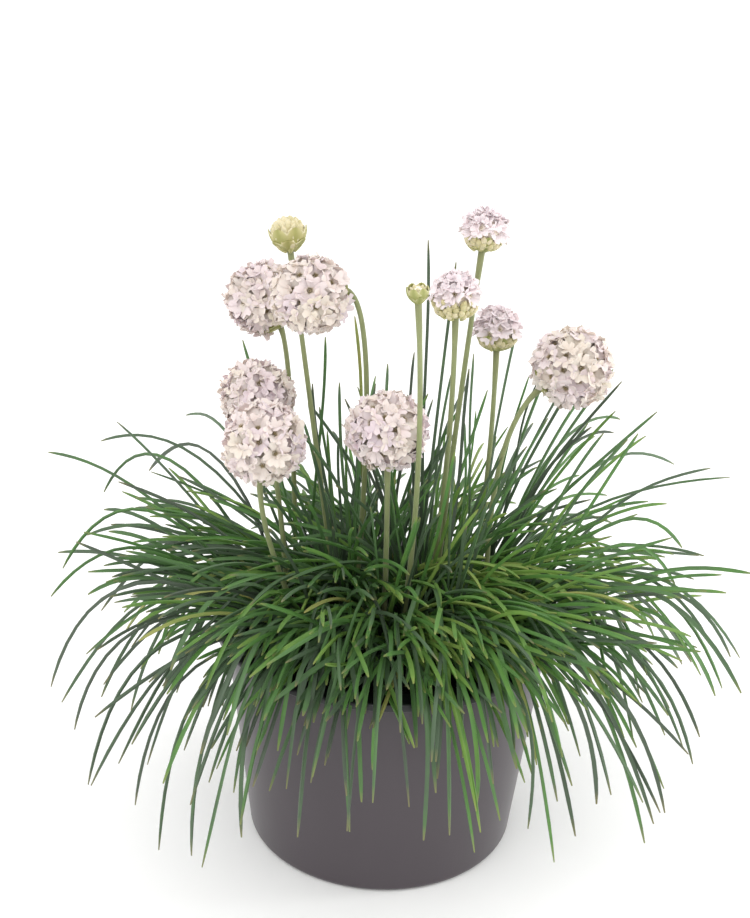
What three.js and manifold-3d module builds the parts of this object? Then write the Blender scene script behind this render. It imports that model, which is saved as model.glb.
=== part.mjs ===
// Potted sea thrift: a cushion of grassy leaves and ball-shaped flower heads on bare stems.
// A black grower's pot holds the soil and hangs by its lip in a taupe cover pot.
// Millimetres, +Z up, with the origin at the centre of the cover pot's base.

import * as THREE from "three";
import { mergeVertices } from "three/addons/utils/BufferGeometryUtils.js";
import Module from "manifold-3d";

const wasm = await Module();
wasm.setup();

// Cover pot, and the notches that leave low feet round the edge of its base
const COVER_TOP_RADIUS = 60.9;
const COVER_BASE_RADIUS = 51.4;
const COVER_HEIGHT = 86.1;
const COVER_WALL = 2.0;
const COVER_FLOOR = 2.4;
const COVER_CORNER = 3.0;
const CORNER_STEPS = 3;
const FOOT_NOTCHES = 8;
const FOOT_NOTCH_WIDTH = 23;
const FOOT_NOTCH_HEIGHT = 1.0;
const FOOT_NOTCH_INNER_RADIUS = 40;

// Grower's pot, hanging by its lip on the cover pot's rim
const LIP_RADIUS = 65;
const LIP_TOP = 89.4;
const LIP_THICKNESS = 3.0;
const LIP_ROUNDING = 1.2;
const GROWER_WALL = 1.4;
const GROWER_CLEARANCE = 0.8;
const GROWER_FLOOR_Z = 5;
const DRAIN_HOLES = 6;
const DRAIN_HOLE_RADIUS = 4.5;
const DRAIN_RING_RADIUS = 30;
const DRAIN_HOLE_SIDES = 8;
const POT_SIDES = 32;
const OVERCUT = 1;

// Soil
const SOIL_TOP = 79;
const SOIL_MOUND = 2;
const SOIL_RELIEF = 0.6;
const SOIL_RINGS = [0.7, 0.35];
const SEAT_GAP = 0.3;

// Crowns that the leaves grow from, each with a root in a plain hole in the soil
const CROWN_RADIUS = 9.5;
const CROWN_HEIGHT = 12;
const CROWN_Z = 95;
const CROWN_SIDES = 8;
const CROWN_RINGS = 6;
const ROOT_RADIUS = 4.5;
const ROOT_DEPTH = 12;
const ROOT_SIDES = 6;

// Leaves
const LEAF_WIDTH = 2.6;
const LEAF_THICKNESS = 1.2;
const LEAF_SEGMENTS = 4;
const LEAF_ROOT_OFFSET = 3;
const LEAF_ROOT_Z = 90;
const LEAF_GAP = 3.1;
const LEAF_TRIES = 60;
const LEAF_CHECKS = 9;
const LONG_LEAF_SHIFTS = [12, 8, 12];
const HEAD_CLEARANCE = 0.8;
const FREE_LENGTH = 22;
const LOWEST_TIP = 18;
const POT_CLEARANCE = 2.2;
const POT_MOUTH_RADIUS = 54;
const CROWN_MARGIN = 1.8;
const LATEST_TAPER = 2.2;
const BASE_WIDTH = 0.45;
const LEAF_SEED = 20;

// Flower stems and heads
const STEM_RADIUS = 1.15;
const STEM_SIDES = 5;
const STEM_STEPS = 6;
const STEM_FOOT_Z = 88;
const HEAD_SEED = 100;
const SOCKET_GAP = 0.35;

// Each crown: its place, the heading and half width of the sector that its leaves fan over,
// how long its leaves are as a share, and how many of them arch down, spread and stand upright
const CROWNS = {
  a: { at: [-34, 20], heading: 160, fan: 36, length: 0.75, arching: 3, spreading: 4, upright: 0 },
  b: { at: [-37, -2], heading: 192, fan: 40, length: 0.9, arching: 6, spreading: 5, upright: 0 },
  c: { at: [-20.5, -14], heading: 234, fan: 48, length: 0.95, arching: 11, spreading: 6, upright: 1 },
  d: { at: [-17, 10], heading: 220, fan: 150, length: 0.85, arching: 0, spreading: 10, upright: 6 },
  e: { at: [-0.5, -14], heading: 270, fan: 64, length: 0.84, arching: 11, spreading: 7, upright: 3 },
  f: { at: [14, 9], heading: 290, fan: 160, length: 0.88, arching: 0, spreading: 10, upright: 8 },
  g: { at: [38, -5], heading: 350, fan: 40, length: 1, arching: 8, spreading: 6, upright: 2 },
  h: { at: [30, 20], heading: 35, fan: 40, length: 1, arching: 3, spreading: 7, upright: 9 },
  i: { at: [-2, 33], heading: 80, fan: 60, length: 0.78, arching: 4, spreading: 5, upright: 4 },
  j: { at: [19.5, -14], heading: 304, fan: 48, length: 0.94, arching: 11, spreading: 6, upright: 2 },
};

// How each kind of leaf runs: two legs, each with a length and an elevation, as low and high bounds
const LEAF_HABITS = {
  upright: { firstLeg: [40, 58], firstRise: [58, 80], secondLeg: [34, 62], secondRise: [30, 66] },
  spreading: { firstLeg: [44, 64], firstRise: [30, 52], secondLeg: [32, 54], secondRise: [-38, 8] },
  arching: { firstLeg: [54, 80], firstRise: [44, 68], secondLeg: [66, 110], secondRise: [-78, -54] },
};

// The longest leaves, which give the plant its outline: crown, heading,
// then how far out and how high the middle and the tip are
const LONG_LEAVES = [
  ["b", 172, 47, 131, 89, 145],
  ["a", 150, 45, 132, 97, 126],
  ["a", 160, 50, 134, 84, 112],
  ["a", 138, 46, 131, 90, 108],
  ["b", 180, 34, 121, 72, 118],
  ["b", 187, 46, 134, 80, 109],
  ["b", 194, 46, 122, 84, 103],
  ["b", 202, 42, 112, 76, 98],
  ["c", 195, 64, 119, 99, 76],
  ["c", 200, 60, 106, 92, 62],
  ["c", 206, 58, 100, 90, 45],
  ["c", 214, 51, 94, 77, 40],
  ["c", 222, 51, 92, 74, 26],
  ["c", 232, 50, 93, 69, 28],
  ["c", 244, 45, 96, 59, 36],
  ["a", 122, 52, 128, 106, 122],
  ["h", 35, 52, 130, 104, 121],
  ["h", 50, 50, 135, 98, 134],
  ["h", 42, 40, 133, 77, 137],
  ["g", 20, 40, 126, 76, 111],
  ["g", 8, 38, 122, 68, 103],
  ["g", -12, 50, 117, 86, 90],
  ["g", -20, 50, 112, 83, 80],
  ["g", -27, 46, 106, 81, 68],
  ["j", -32, 62, 112, 99, 73],
  ["j", -40, 60, 106, 97, 60],
  ["j", -50, 56, 104, 80, 62],
  ["j", -62, 53, 98, 65, 48],
  ["e", -62, 54, 102, 68, 60],
  ["e", -76, 48, 98, 64, 45],
  ["e", -92, 45, 98, 61, 72],
  ["c", -76, 47, 98, 64, 60],
  ["f", 110, 3, 160, 12, 228],
  ["f", 70, 5, 160, 13, 220],
  ["i", 175, 5, 140, 12, 195],
  ["i", 160, 3, 135, 6, 184],
  ["a", 30, 4, 140, 5, 190],
  ["a", 160, 9, 140, 22, 186],
  ["h", 25, 12, 136, 22, 173],
  ["h", 35, 14, 132, 30, 168],
  ["d", 235, 52, 118, 98, 62],
  ["d", 262, 50, 120, 96, 70],
  ["d", 285, 54, 118, 100, 66],
  ["f", 250, 50, 120, 96, 72],
  ["f", 275, 54, 121, 102, 60],
  ["f", 305, 56, 117, 104, 64],
];

// Flowers: how far each has opened, its crown, the foot of its stem, the point that the stem
// bends towards, the centre of the head and the head's radius
const FLOWERS = [
  { stage: "opening", crown: "d", foot: [-18, 8], bend: [-28.7, 6, 157], head: [-40.4, 18, 230], radius: 7 },
  { stage: "open", crown: "a", foot: [-36, 22], bend: [-38, 24, 185], head: [-50, 26, 203], radius: 13.6 },
  { stage: "open", crown: "d", foot: [-13, 8], bend: [-5, -2, 218], head: [-30, -12, 217], radius: 13.6 },
  { stage: "open", crown: "b", foot: [-37, -1], bend: [-39.5, 1.5, 135], head: [-50, 6, 172], radius: 13.6 },
  { stage: "open", crown: "c", foot: [-24, -16], bend: [-48, -26, 132], head: [-44, -34, 171], radius: 14.2 },
  { stage: "open", crown: "e", foot: [-1, -14], bend: [-1, -20, 135], head: [-2.5, -24, 173], radius: 14 },
  { stage: "bud", crown: "e", foot: [4, -15], bend: [12, -37, 156], head: [5.7, -40, 227], radius: 3.6 },
  { stage: "half_open", crown: "f", foot: [14, 7], bend: [21.5, -6, 155], head: [19, -8, 217], radius: 8.6 },
  { stage: "half_open", crown: "f", foot: [17, 11], bend: [21, 1, 159], head: [28.3, 6, 236.5], radius: 8 },
  { stage: "half_open", crown: "h", foot: [31, 19], bend: [37, 15, 136], head: [36, 24, 195], radius: 8.6 },
  { stage: "open", crown: "g", foot: [38, -4], bend: [31, 6, 163], head: [61.5, 2, 189.5], radius: 14.4 },
];

// For each stage: how far the cup of bracts spreads from the stem, in degrees, the cup's radius
// as a share of the head's, and how finely the ball of florets is divided
const STAGES = {
  open: { cup: 30, cupRadius: 0.9, detail: 5 },
  half_open: { cup: 74, cupRadius: 0.88, detail: 2 },
  opening: { cup: 98, cupRadius: 0.94, detail: 2 },
  bud: { cup: 126, cupRadius: 1.0, detail: 2 },
};
const CUP_SIDES = 8;
const CUP_RINGS = 3;
const FLORET_SPACING = 0.62;
const THROAT_DEPTH = 0.24;
const NOTCH_DEPTH = 0.16;

const TAUPE_PLASTIC = { color: 0x6b6264, roughness: 0.38, metalness: 0 };
const BLACK_PLASTIC = { color: 0x1c1d1e, roughness: 0.5, metalness: 0 };
const PEAT = { color: 0x1d1814, roughness: 0.95, metalness: 0 };
const LEAF_GREEN = { color: 0x4c7a36, roughness: 0.55, metalness: 0 };
const STEM_GREEN = { color: 0x8a9a55, roughness: 0.6, metalness: 0 };
const PETAL_WHITE = { color: 0xf0e6e6, roughness: 0.7, metalness: 0 };
const PETAL_CREAM = { color: 0xe9e2c4, roughness: 0.7, metalness: 0 };

const radians = THREE.MathUtils.degToRad;

// A repeatable draw of numbers from 0 to 1
function seededRandom(seed) {
  let state = seed;
  return () => {
    state = (state + 0x6d2b79f5) | 0;
    let mixed = Math.imul(state ^ (state >>> 15), 1 | state);
    mixed = (mixed + Math.imul(mixed ^ (mixed >>> 7), 61 | mixed)) ^ mixed;
    return ((mixed ^ (mixed >>> 14)) >>> 0) / 4294967296;
  };
}

// Turns a closed geometry into a solid, without the flat triangles at poles and tips
function solidOf(geometry) {
  const bare = geometry.index ? geometry.toNonIndexed() : geometry.clone();
  bare.deleteAttribute("normal");
  bare.deleteAttribute("uv");
  const merged = mergeVertices(bare, 1e-4);
  const corners = merged.index.array;
  const kept = [];
  for (let i = 0; i < corners.length; i += 3) {
    const [a, b, c] = [corners[i], corners[i + 1], corners[i + 2]];
    if (a !== b && b !== c && c !== a) kept.push(a, b, c);
  }
  const mesh = new wasm.Mesh({
    numProp: 3,
    vertProperties: new Float32Array(merged.attributes.position.array),
    triVerts: new Uint32Array(kept),
  });
  return new wasm.Manifold(mesh);
}

function unite(solids) {
  return solids.reduce((whole, solid) => whole.add(solid));
}

// The largest connected piece, so that no loose scrap stays
function largestPiece(solid) {
  return solid.decompose().reduce((best, piece) => (piece.volume() > best.volume() ? piece : best));
}

function namedMesh(name, solid, finish) {
  const { vertProperties, triVerts } = solid.getMesh();
  const geometry = new THREE.BufferGeometry();
  geometry.setAttribute("position", new THREE.BufferAttribute(vertProperties, 3));
  geometry.setIndex(new THREE.BufferAttribute(triVerts, 1));
  geometry.computeVertexNormals();
  const mesh = new THREE.Mesh(geometry, new THREE.MeshStandardMaterial(finish));
  mesh.name = name;
  return mesh;
}

// A body of revolution round Z from points of [radius, height], anticlockwise from the axis
function turned(points, sides) {
  const profile = points.map(([radius, height]) => new THREE.Vector2(radius, height));
  return new THREE.LatheGeometry(profile, sides).rotateX(Math.PI / 2);
}

function uprightCylinder(x, y, radius, bottom, top, sides) {
  const cylinder = new THREE.CylinderGeometry(radius, radius, top - bottom, sides);
  return cylinder.rotateX(Math.PI / 2).translate(x, y, (bottom + top) / 2);
}

// Outer radius of the tapered cover pot at a height
function coverRadius(z) {
  return COVER_BASE_RADIUS + (COVER_TOP_RADIUS - COVER_BASE_RADIUS) * (z / COVER_HEIGHT);
}

function growerRadius(z) {
  return coverRadius(z) - COVER_WALL - GROWER_CLEARANCE;
}

function coverPot() {
  const corner = [];
  for (let step = 0; step <= CORNER_STEPS; step += 1) {
    const turn = radians(-90 + (90 * step) / CORNER_STEPS);
    const centre = COVER_BASE_RADIUS - COVER_CORNER;
    corner.push([centre + COVER_CORNER * Math.cos(turn), COVER_CORNER * (1 + Math.sin(turn))]);
  }
  let pot = solidOf(turned([
    [0, 0],
    ...corner,
    [COVER_TOP_RADIUS, COVER_HEIGHT],
    [COVER_TOP_RADIUS - COVER_WALL, COVER_HEIGHT],
    [coverRadius(COVER_FLOOR) - COVER_WALL, COVER_FLOOR],
    [0, COVER_FLOOR],
  ], POT_SIDES));
  const length = COVER_BASE_RADIUS + COVER_CORNER - FOOT_NOTCH_INNER_RADIUS;
  for (let i = 0; i < FOOT_NOTCHES; i += 1) {
    const notch = new THREE.BoxGeometry(length, FOOT_NOTCH_WIDTH, 2 * FOOT_NOTCH_HEIGHT);
    notch.translate(FOOT_NOTCH_INNER_RADIUS + length / 2, 0, 0);
    notch.rotateZ(radians(-90) + (2 * Math.PI * i) / FOOT_NOTCHES);
    pot = pot.subtract(solidOf(notch));
  }
  return pot;
}

function growerPot() {
  const lipUnderside = LIP_TOP - LIP_THICKNESS;
  const floorTop = GROWER_FLOOR_Z + GROWER_WALL;
  let pot = solidOf(turned([
    [0, GROWER_FLOOR_Z],
    [growerRadius(GROWER_FLOOR_Z), GROWER_FLOOR_Z],
    [growerRadius(lipUnderside), lipUnderside],
    [LIP_RADIUS - LIP_ROUNDING / 2, lipUnderside],
    [LIP_RADIUS, lipUnderside + LIP_ROUNDING / 2],
    [LIP_RADIUS, LIP_TOP - LIP_ROUNDING],
    [LIP_RADIUS - LIP_ROUNDING, LIP_TOP],
    [growerRadius(LIP_TOP) - GROWER_WALL, LIP_TOP],
    [growerRadius(floorTop) - GROWER_WALL, floorTop],
    [0, floorTop],
  ], POT_SIDES));
  for (let i = 0; i < DRAIN_HOLES; i += 1) {
    const turn = (2 * Math.PI * i) / DRAIN_HOLES;
    const [x, y] = [DRAIN_RING_RADIUS * Math.cos(turn), DRAIN_RING_RADIUS * Math.sin(turn)];
    const [bottom, top] = [GROWER_FLOOR_Z - OVERCUT, floorTop + OVERCUT];
    pot = pot.subtract(solidOf(uprightCylinder(x, y, DRAIN_HOLE_RADIUS, bottom, top, DRAIN_HOLE_SIDES)));
  }
  return pot;
}

// Height of the soil's surface, a low mound with an uneven, crumbly top
function soilHeight(x, y) {
  const edge = growerRadius(SOIL_TOP) - GROWER_WALL - SEAT_GAP;
  const share = Math.min(1, Math.hypot(x, y) / edge);
  const relief = Math.sin(0.31 * x + 1.3) * Math.cos(0.27 * y) + Math.sin(0.19 * x - 0.23 * y);
  return SOIL_TOP + SOIL_MOUND * (1 - share * share) + SOIL_RELIEF * relief * (1 - share);
}

function soilBody() {
  const bottom = GROWER_FLOOR_Z + GROWER_WALL + SEAT_GAP;
  const inset = GROWER_WALL + SEAT_GAP;
  const edge = growerRadius(SOIL_TOP) - inset;
  const rings = SOIL_RINGS.map((share) => [share * edge, SOIL_TOP]);
  const geometry = turned([
    [0, bottom],
    [growerRadius(bottom) - inset, bottom],
    [edge, SOIL_TOP],
    ...rings,
    [0, SOIL_TOP],
  ], POT_SIDES);
  const place = geometry.attributes.position;
  for (let i = 0; i < place.count; i += 1) {
    if (place.getZ(i) > SOIL_TOP - 0.01) place.setZ(i, soilHeight(place.getX(i), place.getY(i)));
  }
  let soil = solidOf(geometry);
  for (const { at: [x, y] } of Object.values(CROWNS)) {
    const floor = SOIL_TOP - ROOT_DEPTH - SEAT_GAP;
    const top = SOIL_TOP + SOIL_MOUND + SOIL_RELIEF + OVERCUT;
    const hole = uprightCylinder(x, y, ROOT_RADIUS + SEAT_GAP, floor, top, ROOT_SIDES);
    soil = soil.subtract(solidOf(hole));
  }
  return soil;
}

// Frame for a section of a leaf: its width lies level, across the heading
function leafFrame(path, share) {
  const tangent = path.getTangent(Math.min(share, 0.999));
  const chord = path.v2.clone().sub(path.v0);
  const side = new THREE.Vector3(-chord.y, chord.x, 0).normalize();
  side.addScaledVector(tangent, -side.dot(tangent)).normalize();
  return { side, up: side.clone().cross(tangent).negate() };
}

// A leaf is a three-sided cylinder bent along its path: flat above, keeled below, tapered to its tip
function leafGeometry(path) {
  const rod = new THREE.CylinderGeometry(0, 1, 1, 3, LEAF_SEGMENTS);
  const place = rod.attributes.position;
  const corner = new THREE.Vector3();
  for (let i = 0; i < place.count; i += 1) {
    corner.fromBufferAttribute(place, i);
    const share = corner.y + 0.5;
    const turn = Math.hypot(corner.x, corner.z) > 1e-6 ? Math.atan2(corner.x, corner.z) : null;
    const point = path.getPoint(share);
    if (turn !== null) {
      const { side, up } = leafFrame(path, share);
      const base = BASE_WIDTH + (1 - BASE_WIDTH) * Math.min(1, LEAF_SEGMENTS * share);
      const taper = base * Math.min(1, LATEST_TAPER * (1 - share));
      point.addScaledVector(side, (LEAF_WIDTH / 2) * taper * (Math.sin(turn) / Math.sin(radians(120))));
      point.addScaledVector(up, -LEAF_THICKNESS * taper * (2 / 3) * Math.cos(turn));
    }
    place.setXYZ(i, point.x, point.y, point.z);
  }
  return rod;
}

// Least distance between two straight stretches
function stretchGap(a0, a1, b0, b1) {
  const a = a1.clone().sub(a0);
  const b = b1.clone().sub(b0);
  const r = a0.clone().sub(b0);
  const [aa, bb, ab, ar, br] = [a.dot(a), b.dot(b), a.dot(b), a.dot(r), b.dot(r)];
  const slant = aa * bb - ab * ab;
  let s = slant > 1e-9 ? THREE.MathUtils.clamp((ab * br - ar * bb) / slant, 0, 1) : 0;
  let t = (ab * s + br) / bb;
  if (t < 0 || t > 1) {
    t = THREE.MathUtils.clamp(t, 0, 1);
    s = THREE.MathUtils.clamp((ab * t - ar) / aa, 0, 1);
  }
  return a0.clone().addScaledVector(a, s).distanceTo(b0.clone().addScaledVector(b, t));
}

// Least distance between two chains of points, or a number above the limit if they are far apart
function chainGap(first, second, limit) {
  if (!first.box.clone().expandByScalar(limit).intersectsBox(second.box)) return limit + 1;
  let least = limit + 1;
  for (let i = 1; i < first.points.length; i += 1) {
    for (let j = 1; j < second.points.length; j += 1) {
      const pair = [first.points[i - 1], first.points[i], second.points[j - 1], second.points[j]];
      least = Math.min(least, stretchGap(...pair));
    }
  }
  return least;
}

function chainOf(points) {
  return { points, box: new THREE.Box3().setFromPoints(points) };
}

// The cup of bracts under the florets: its radius and the height of its flat top in the head
function cupOf({ stage, radius }) {
  const cup = STAGES[stage].cupRadius * radius;
  return { radius: cup, seat: -cup * Math.cos(radians(STAGES[stage].cup)) };
}

function stemPath(flower) {
  const foot = new THREE.Vector3(...flower.foot, STEM_FOOT_Z);
  const bend = new THREE.Vector3(...flower.bend);
  const centre = new THREE.Vector3(...flower.head);
  const axis = centre.clone().sub(bend).normalize();
  const cup = cupOf(flower);
  const end = centre.clone().addScaledVector(axis, (cup.seat - cup.radius) / 2);
  return { path: new THREE.QuadraticBezierCurve3(foot, bend, end), axis, centre };
}

// True where a leaf's path keeps clear of the pots, the soil and the other crowns
function clearsPot(point, crown) {
  const radius = Math.hypot(point.x, point.y);
  if (point.z < LOWEST_TIP) return false;
  if (radius <= POT_MOUTH_RADIUS) {
    if (point.z < SOIL_TOP + SOIL_MOUND + POT_CLEARANCE) return false;
  } else if (radius < LIP_RADIUS + POT_CLEARANCE && point.z < LIP_TOP + POT_CLEARANCE) {
    return false;
  }
  return Object.values(CROWNS).every(({ at: [x, y] }) => {
    if (crown.at[0] === x && crown.at[1] === y) return true;
    const across = Math.hypot(point.x - x, point.y - y) / (CROWN_RADIUS + CROWN_MARGIN);
    return Math.hypot(across, (point.z - CROWN_Z) / (CROWN_HEIGHT + CROWN_MARGIN)) > 1;
  });
}

function leafFits(leaf, placed, stems) {
  const free = leaf.chain.points.filter((point) => point.distanceTo(leaf.path.v0) > CROWN_RADIUS);
  if (!free.every((point) => clearsPot(point, CROWNS[leaf.crown]))) return false;
  for (const { flower, centre, chain } of stems) {
    const reach = flower.radius + LEAF_WIDTH / 2 + HEAD_CLEARANCE;
    const top = centre.clone().add(new THREE.Vector3(0, 0, 0.01));
    if (chainGap(leaf.farther, chainOf([centre, top]), reach) < reach) return false;
    const own = flower.crown === leaf.crown;
    if (chainGap(own ? leaf.farther : leaf.chain, chain, LEAF_GAP) < LEAF_GAP) return false;
  }
  return placed.every((other) => {
    const part = other.crown === leaf.crown ? "farther" : "chain";
    return chainGap(leaf[part], other[part], LEAF_GAP) >= LEAF_GAP;
  });
}

function leafAlong(crown, heading, bend, tip) {
  const [x, y] = CROWNS[crown].at;
  const out = new THREE.Vector3(Math.cos(radians(heading)), Math.sin(radians(heading)), 0);
  const root = new THREE.Vector3(x, y, LEAF_ROOT_Z).addScaledVector(out, LEAF_ROOT_OFFSET);
  const at = ([reach, height]) => {
    return new THREE.Vector3(x, y, height).addScaledVector(out, LEAF_ROOT_OFFSET + reach);
  };
  const path = new THREE.QuadraticBezierCurve3(root, at(bend), at(tip));
  const points = path.getPoints(LEAF_CHECKS);
  const farther = points.filter((point) => point.distanceTo(root) > FREE_LENGTH);
  return { crown, path, chain: chainOf(points), farther: chainOf(farther) };
}

// A long leaf, given by the middle and tip of its run; it shifts a little until it fits
function longLeaf([crown, heading, midReach, midHeight, tipReach, tipHeight], shift) {
  const bend = [2 * midReach - tipReach / 2, 2 * midHeight - (LEAF_ROOT_Z + tipHeight) / 2 + 2 * shift[1]];
  return leafAlong(crown, heading + shift[0], bend, [tipReach, tipHeight + shift[2]]);
}

function drawnLeaf(crown, habit, random) {
  const { heading, fan, length } = CROWNS[crown];
  const { firstLeg, firstRise, secondLeg, secondRise } = LEAF_HABITS[habit];
  const pick = ([low, high]) => low + (high - low) * random();
  const turn = heading + fan * (2 * random() - 1);
  const rise = radians(pick(firstRise));
  const fall = radians(pick(secondRise));
  const first = length * pick(firstLeg);
  const second = length * pick(secondLeg);
  const bend = [first * Math.cos(rise), LEAF_ROOT_Z + first * Math.sin(rise)];
  const tip = [bend[0] + second * Math.cos(fall), bend[1] + second * Math.sin(fall)];
  return leafAlong(crown, turn, bend, tip);
}

// Places every leaf by rule; a draw that would cross another crown's leaf, a stem or a head is redrawn
function placeLeaves(stems) {
  const placed = [];
  const random = seededRandom(LEAF_SEED);
  const place = (draw) => {
    for (let attempt = 0; attempt < LEAF_TRIES; attempt += 1) {
      const leaf = draw(attempt);
      if (leafFits(leaf, placed, stems)) {
        placed.push(leaf);
        return;
      }
    }
  };
  for (const row of LONG_LEAVES) {
    place((attempt) => {
      const ease = attempt / LEAF_TRIES;
      return longLeaf(row, LONG_LEAF_SHIFTS.map((most) => ease * most * (2 * random() - 1)));
    });
  }
  for (const habit of Object.keys(LEAF_HABITS)) {
    for (const [crown, { [habit]: count }] of Object.entries(CROWNS)) {
      for (let i = 0; i < count; i += 1) place(() => drawnLeaf(crown, habit, random));
    }
  }
  return placed;
}

function tubeAlong(path, radius) {
  const ring = [];
  for (let i = 0; i < STEM_SIDES; i += 1) {
    const turn = (2 * Math.PI * i) / STEM_SIDES;
    ring.push(new THREE.Vector2(radius * Math.cos(turn), radius * Math.sin(turn)));
  }
  const section = new THREE.Shape(ring);
  return new THREE.ExtrudeGeometry(section, { steps: STEM_STEPS, bevelEnabled: false, extrudePath: path });
}

function crownSolid(name, leaves, stems) {
  const [x, y] = CROWNS[name].at;
  const heart = new THREE.SphereGeometry(1, CROWN_SIDES, CROWN_RINGS).rotateX(Math.PI / 2);
  heart.scale(CROWN_RADIUS, CROWN_RADIUS, CROWN_HEIGHT).translate(x, y, CROWN_Z);
  const root = uprightCylinder(x, y, ROOT_RADIUS, SOIL_TOP - ROOT_DEPTH, CROWN_Z, ROOT_SIDES);
  const parts = [solidOf(heart), solidOf(root)];
  for (const leaf of leaves) {
    if (leaf.crown === name) parts.push(solidOf(leafGeometry(leaf.path)));
  }
  let whole = unite(parts);
  for (const stem of stems) {
    const socket = solidOf(tubeAlong(stem.path, STEM_RADIUS + SOCKET_GAP));
    if (stem.flower.crown === name) whole = whole.subtract(socket);
  }
  return largestPiece(whole);
}

// Turns a solid made round its own Z axis to the head's axis and moves it to the head's centre
function setOnStem(geometry, stem) {
  const turn = new THREE.Quaternion().setFromUnitVectors(new THREE.Vector3(0, 0, 1), stem.axis);
  return geometry.applyQuaternion(turn).translate(...stem.centre);
}

function cupGeometry(flower) {
  const { radius, seat } = cupOf(flower);
  const points = [];
  for (let step = 0; step <= CUP_RINGS; step += 1) {
    const polar = radians((STAGES[flower.stage].cup * step) / CUP_RINGS);
    points.push([radius * Math.sin(polar), -radius * Math.cos(polar)]);
  }
  return turned([...points, [0, seat]], CUP_SIDES);
}

// Directions of the florets' throats: the corners and face centres of an icosahedron
function throatDirections() {
  const place = new THREE.IcosahedronGeometry(1, 0).attributes.position;
  const corners = [];
  for (let i = 0; i < place.count; i += 1) corners.push(new THREE.Vector3().fromBufferAttribute(place, i));
  const directions = corners.filter((corner, i) => {
    return corners.findIndex((other) => other.distanceTo(corner) < 1e-3) === i;
  });
  for (let i = 0; i < corners.length; i += 3) {
    directions.push(corners[i].clone().add(corners[i + 1]).add(corners[i + 2]).normalize());
  }
  return directions;
}

const THROATS = throatDirections();

// Radius of the head in a direction, as a share of its full radius: each floret sinks to a throat,
// its petals rise to the rims between two florets, and a notch lies where three florets meet
function floretRelief(direction) {
  const near = THROATS.map((throat) => throat.angleTo(direction)).sort((a, b) => a - b);
  const rim = near[1] - near[0];
  const notch = near[2] - near[0];
  const petal = 1 - THREE.MathUtils.smoothstep(rim, 0, FLORET_SPACING);
  const meeting = 1 - THREE.MathUtils.smoothstep(notch, 0, FLORET_SPACING / 2);
  return 1 - THROAT_DEPTH * (1 - petal) - NOTCH_DEPTH * meeting;
}

// The florets of one head: a ball raised and sunk by the relief, cut level over the cup
function headSolid(flower, stem, number) {
  const random = seededRandom(HEAD_SEED + number);
  const ball = new THREE.IcosahedronGeometry(1, STAGES[flower.stage].detail);
  const place = ball.attributes.position;
  const direction = new THREE.Vector3();
  for (let i = 0; i < place.count; i += 1) {
    direction.fromBufferAttribute(place, i).normalize();
    direction.multiplyScalar(flower.radius * floretRelief(direction));
    place.setXYZ(i, direction.x, direction.y, direction.z);
  }
  const full = 2 * Math.PI;
  ball.rotateX(full * random()).rotateY(full * random()).rotateZ(full * random());
  const side = 4 * flower.radius;
  const below = new THREE.BoxGeometry(side, side, side);
  below.translate(0, 0, cupOf(flower).seat + SEAT_GAP - side / 2);
  return solidOf(setOnStem(ball, stem)).subtract(solidOf(setOnStem(below, stem)));
}

function stemSolid(flower, stem) {
  return unite([solidOf(tubeAlong(stem.path, STEM_RADIUS)), solidOf(setOnStem(cupGeometry(flower), stem))]);
}

const stems = FLOWERS.map((flower) => {
  const stem = { flower, ...stemPath(flower) };
  return { ...stem, chain: chainOf(stem.path.getPoints(STEM_STEPS)) };
});
const leaves = placeLeaves(stems);

const thrift = new THREE.Group();
thrift.add(namedMesh("cover_pot", coverPot(), TAUPE_PLASTIC));
thrift.add(namedMesh("grower_pot", growerPot(), BLACK_PLASTIC));
thrift.add(namedMesh("soil", soilBody(), PEAT));
for (const name of Object.keys(CROWNS)) {
  thrift.add(namedMesh(`leaf_tuft_${name}`, crownSolid(name, leaves, stems), LEAF_GREEN));
}
stems.forEach((stem, index) => {
  const closed = stem.flower.stage === "bud" || stem.flower.stage === "opening";
  thrift.add(namedMesh(`flower_stem_${index + 1}`, stemSolid(stem.flower, stem), STEM_GREEN));
  const head = headSolid(stem.flower, stem, index + 1);
  thrift.add(namedMesh(`flower_head_${index + 1}`, head, closed ? PETAL_CREAM : PETAL_WHITE));
});

export default thrift;
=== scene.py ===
"""Potted sea thrift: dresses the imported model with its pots, soil, leaves, stalks and flower heads."""

import math
from functools import partial

import bmesh
import bpy
import numpy as np
from mathutils import Matrix, Vector, noise


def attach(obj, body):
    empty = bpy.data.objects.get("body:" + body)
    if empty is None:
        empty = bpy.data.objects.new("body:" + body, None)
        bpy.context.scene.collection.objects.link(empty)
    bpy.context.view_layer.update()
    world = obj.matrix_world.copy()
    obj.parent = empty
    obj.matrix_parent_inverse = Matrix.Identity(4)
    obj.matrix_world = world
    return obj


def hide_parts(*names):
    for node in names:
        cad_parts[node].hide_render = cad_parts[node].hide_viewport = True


bl_info = {
    "name": "Potted sea thrift",
    "version": (1, 0, 0),
    "blender": (4, 5, 0),
    "location": "3D View > Sidebar > Thrift",
    "description": "Dresses the packed model of a sea thrift in its pots",
    "category": "Object",
}

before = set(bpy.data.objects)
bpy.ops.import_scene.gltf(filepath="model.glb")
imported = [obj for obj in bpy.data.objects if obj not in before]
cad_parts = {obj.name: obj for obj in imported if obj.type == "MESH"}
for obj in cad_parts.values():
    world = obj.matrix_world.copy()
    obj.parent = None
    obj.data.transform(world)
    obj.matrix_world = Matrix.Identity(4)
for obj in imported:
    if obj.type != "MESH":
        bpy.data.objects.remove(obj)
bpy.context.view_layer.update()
BODY = "root"
MM = 0.001

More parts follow.
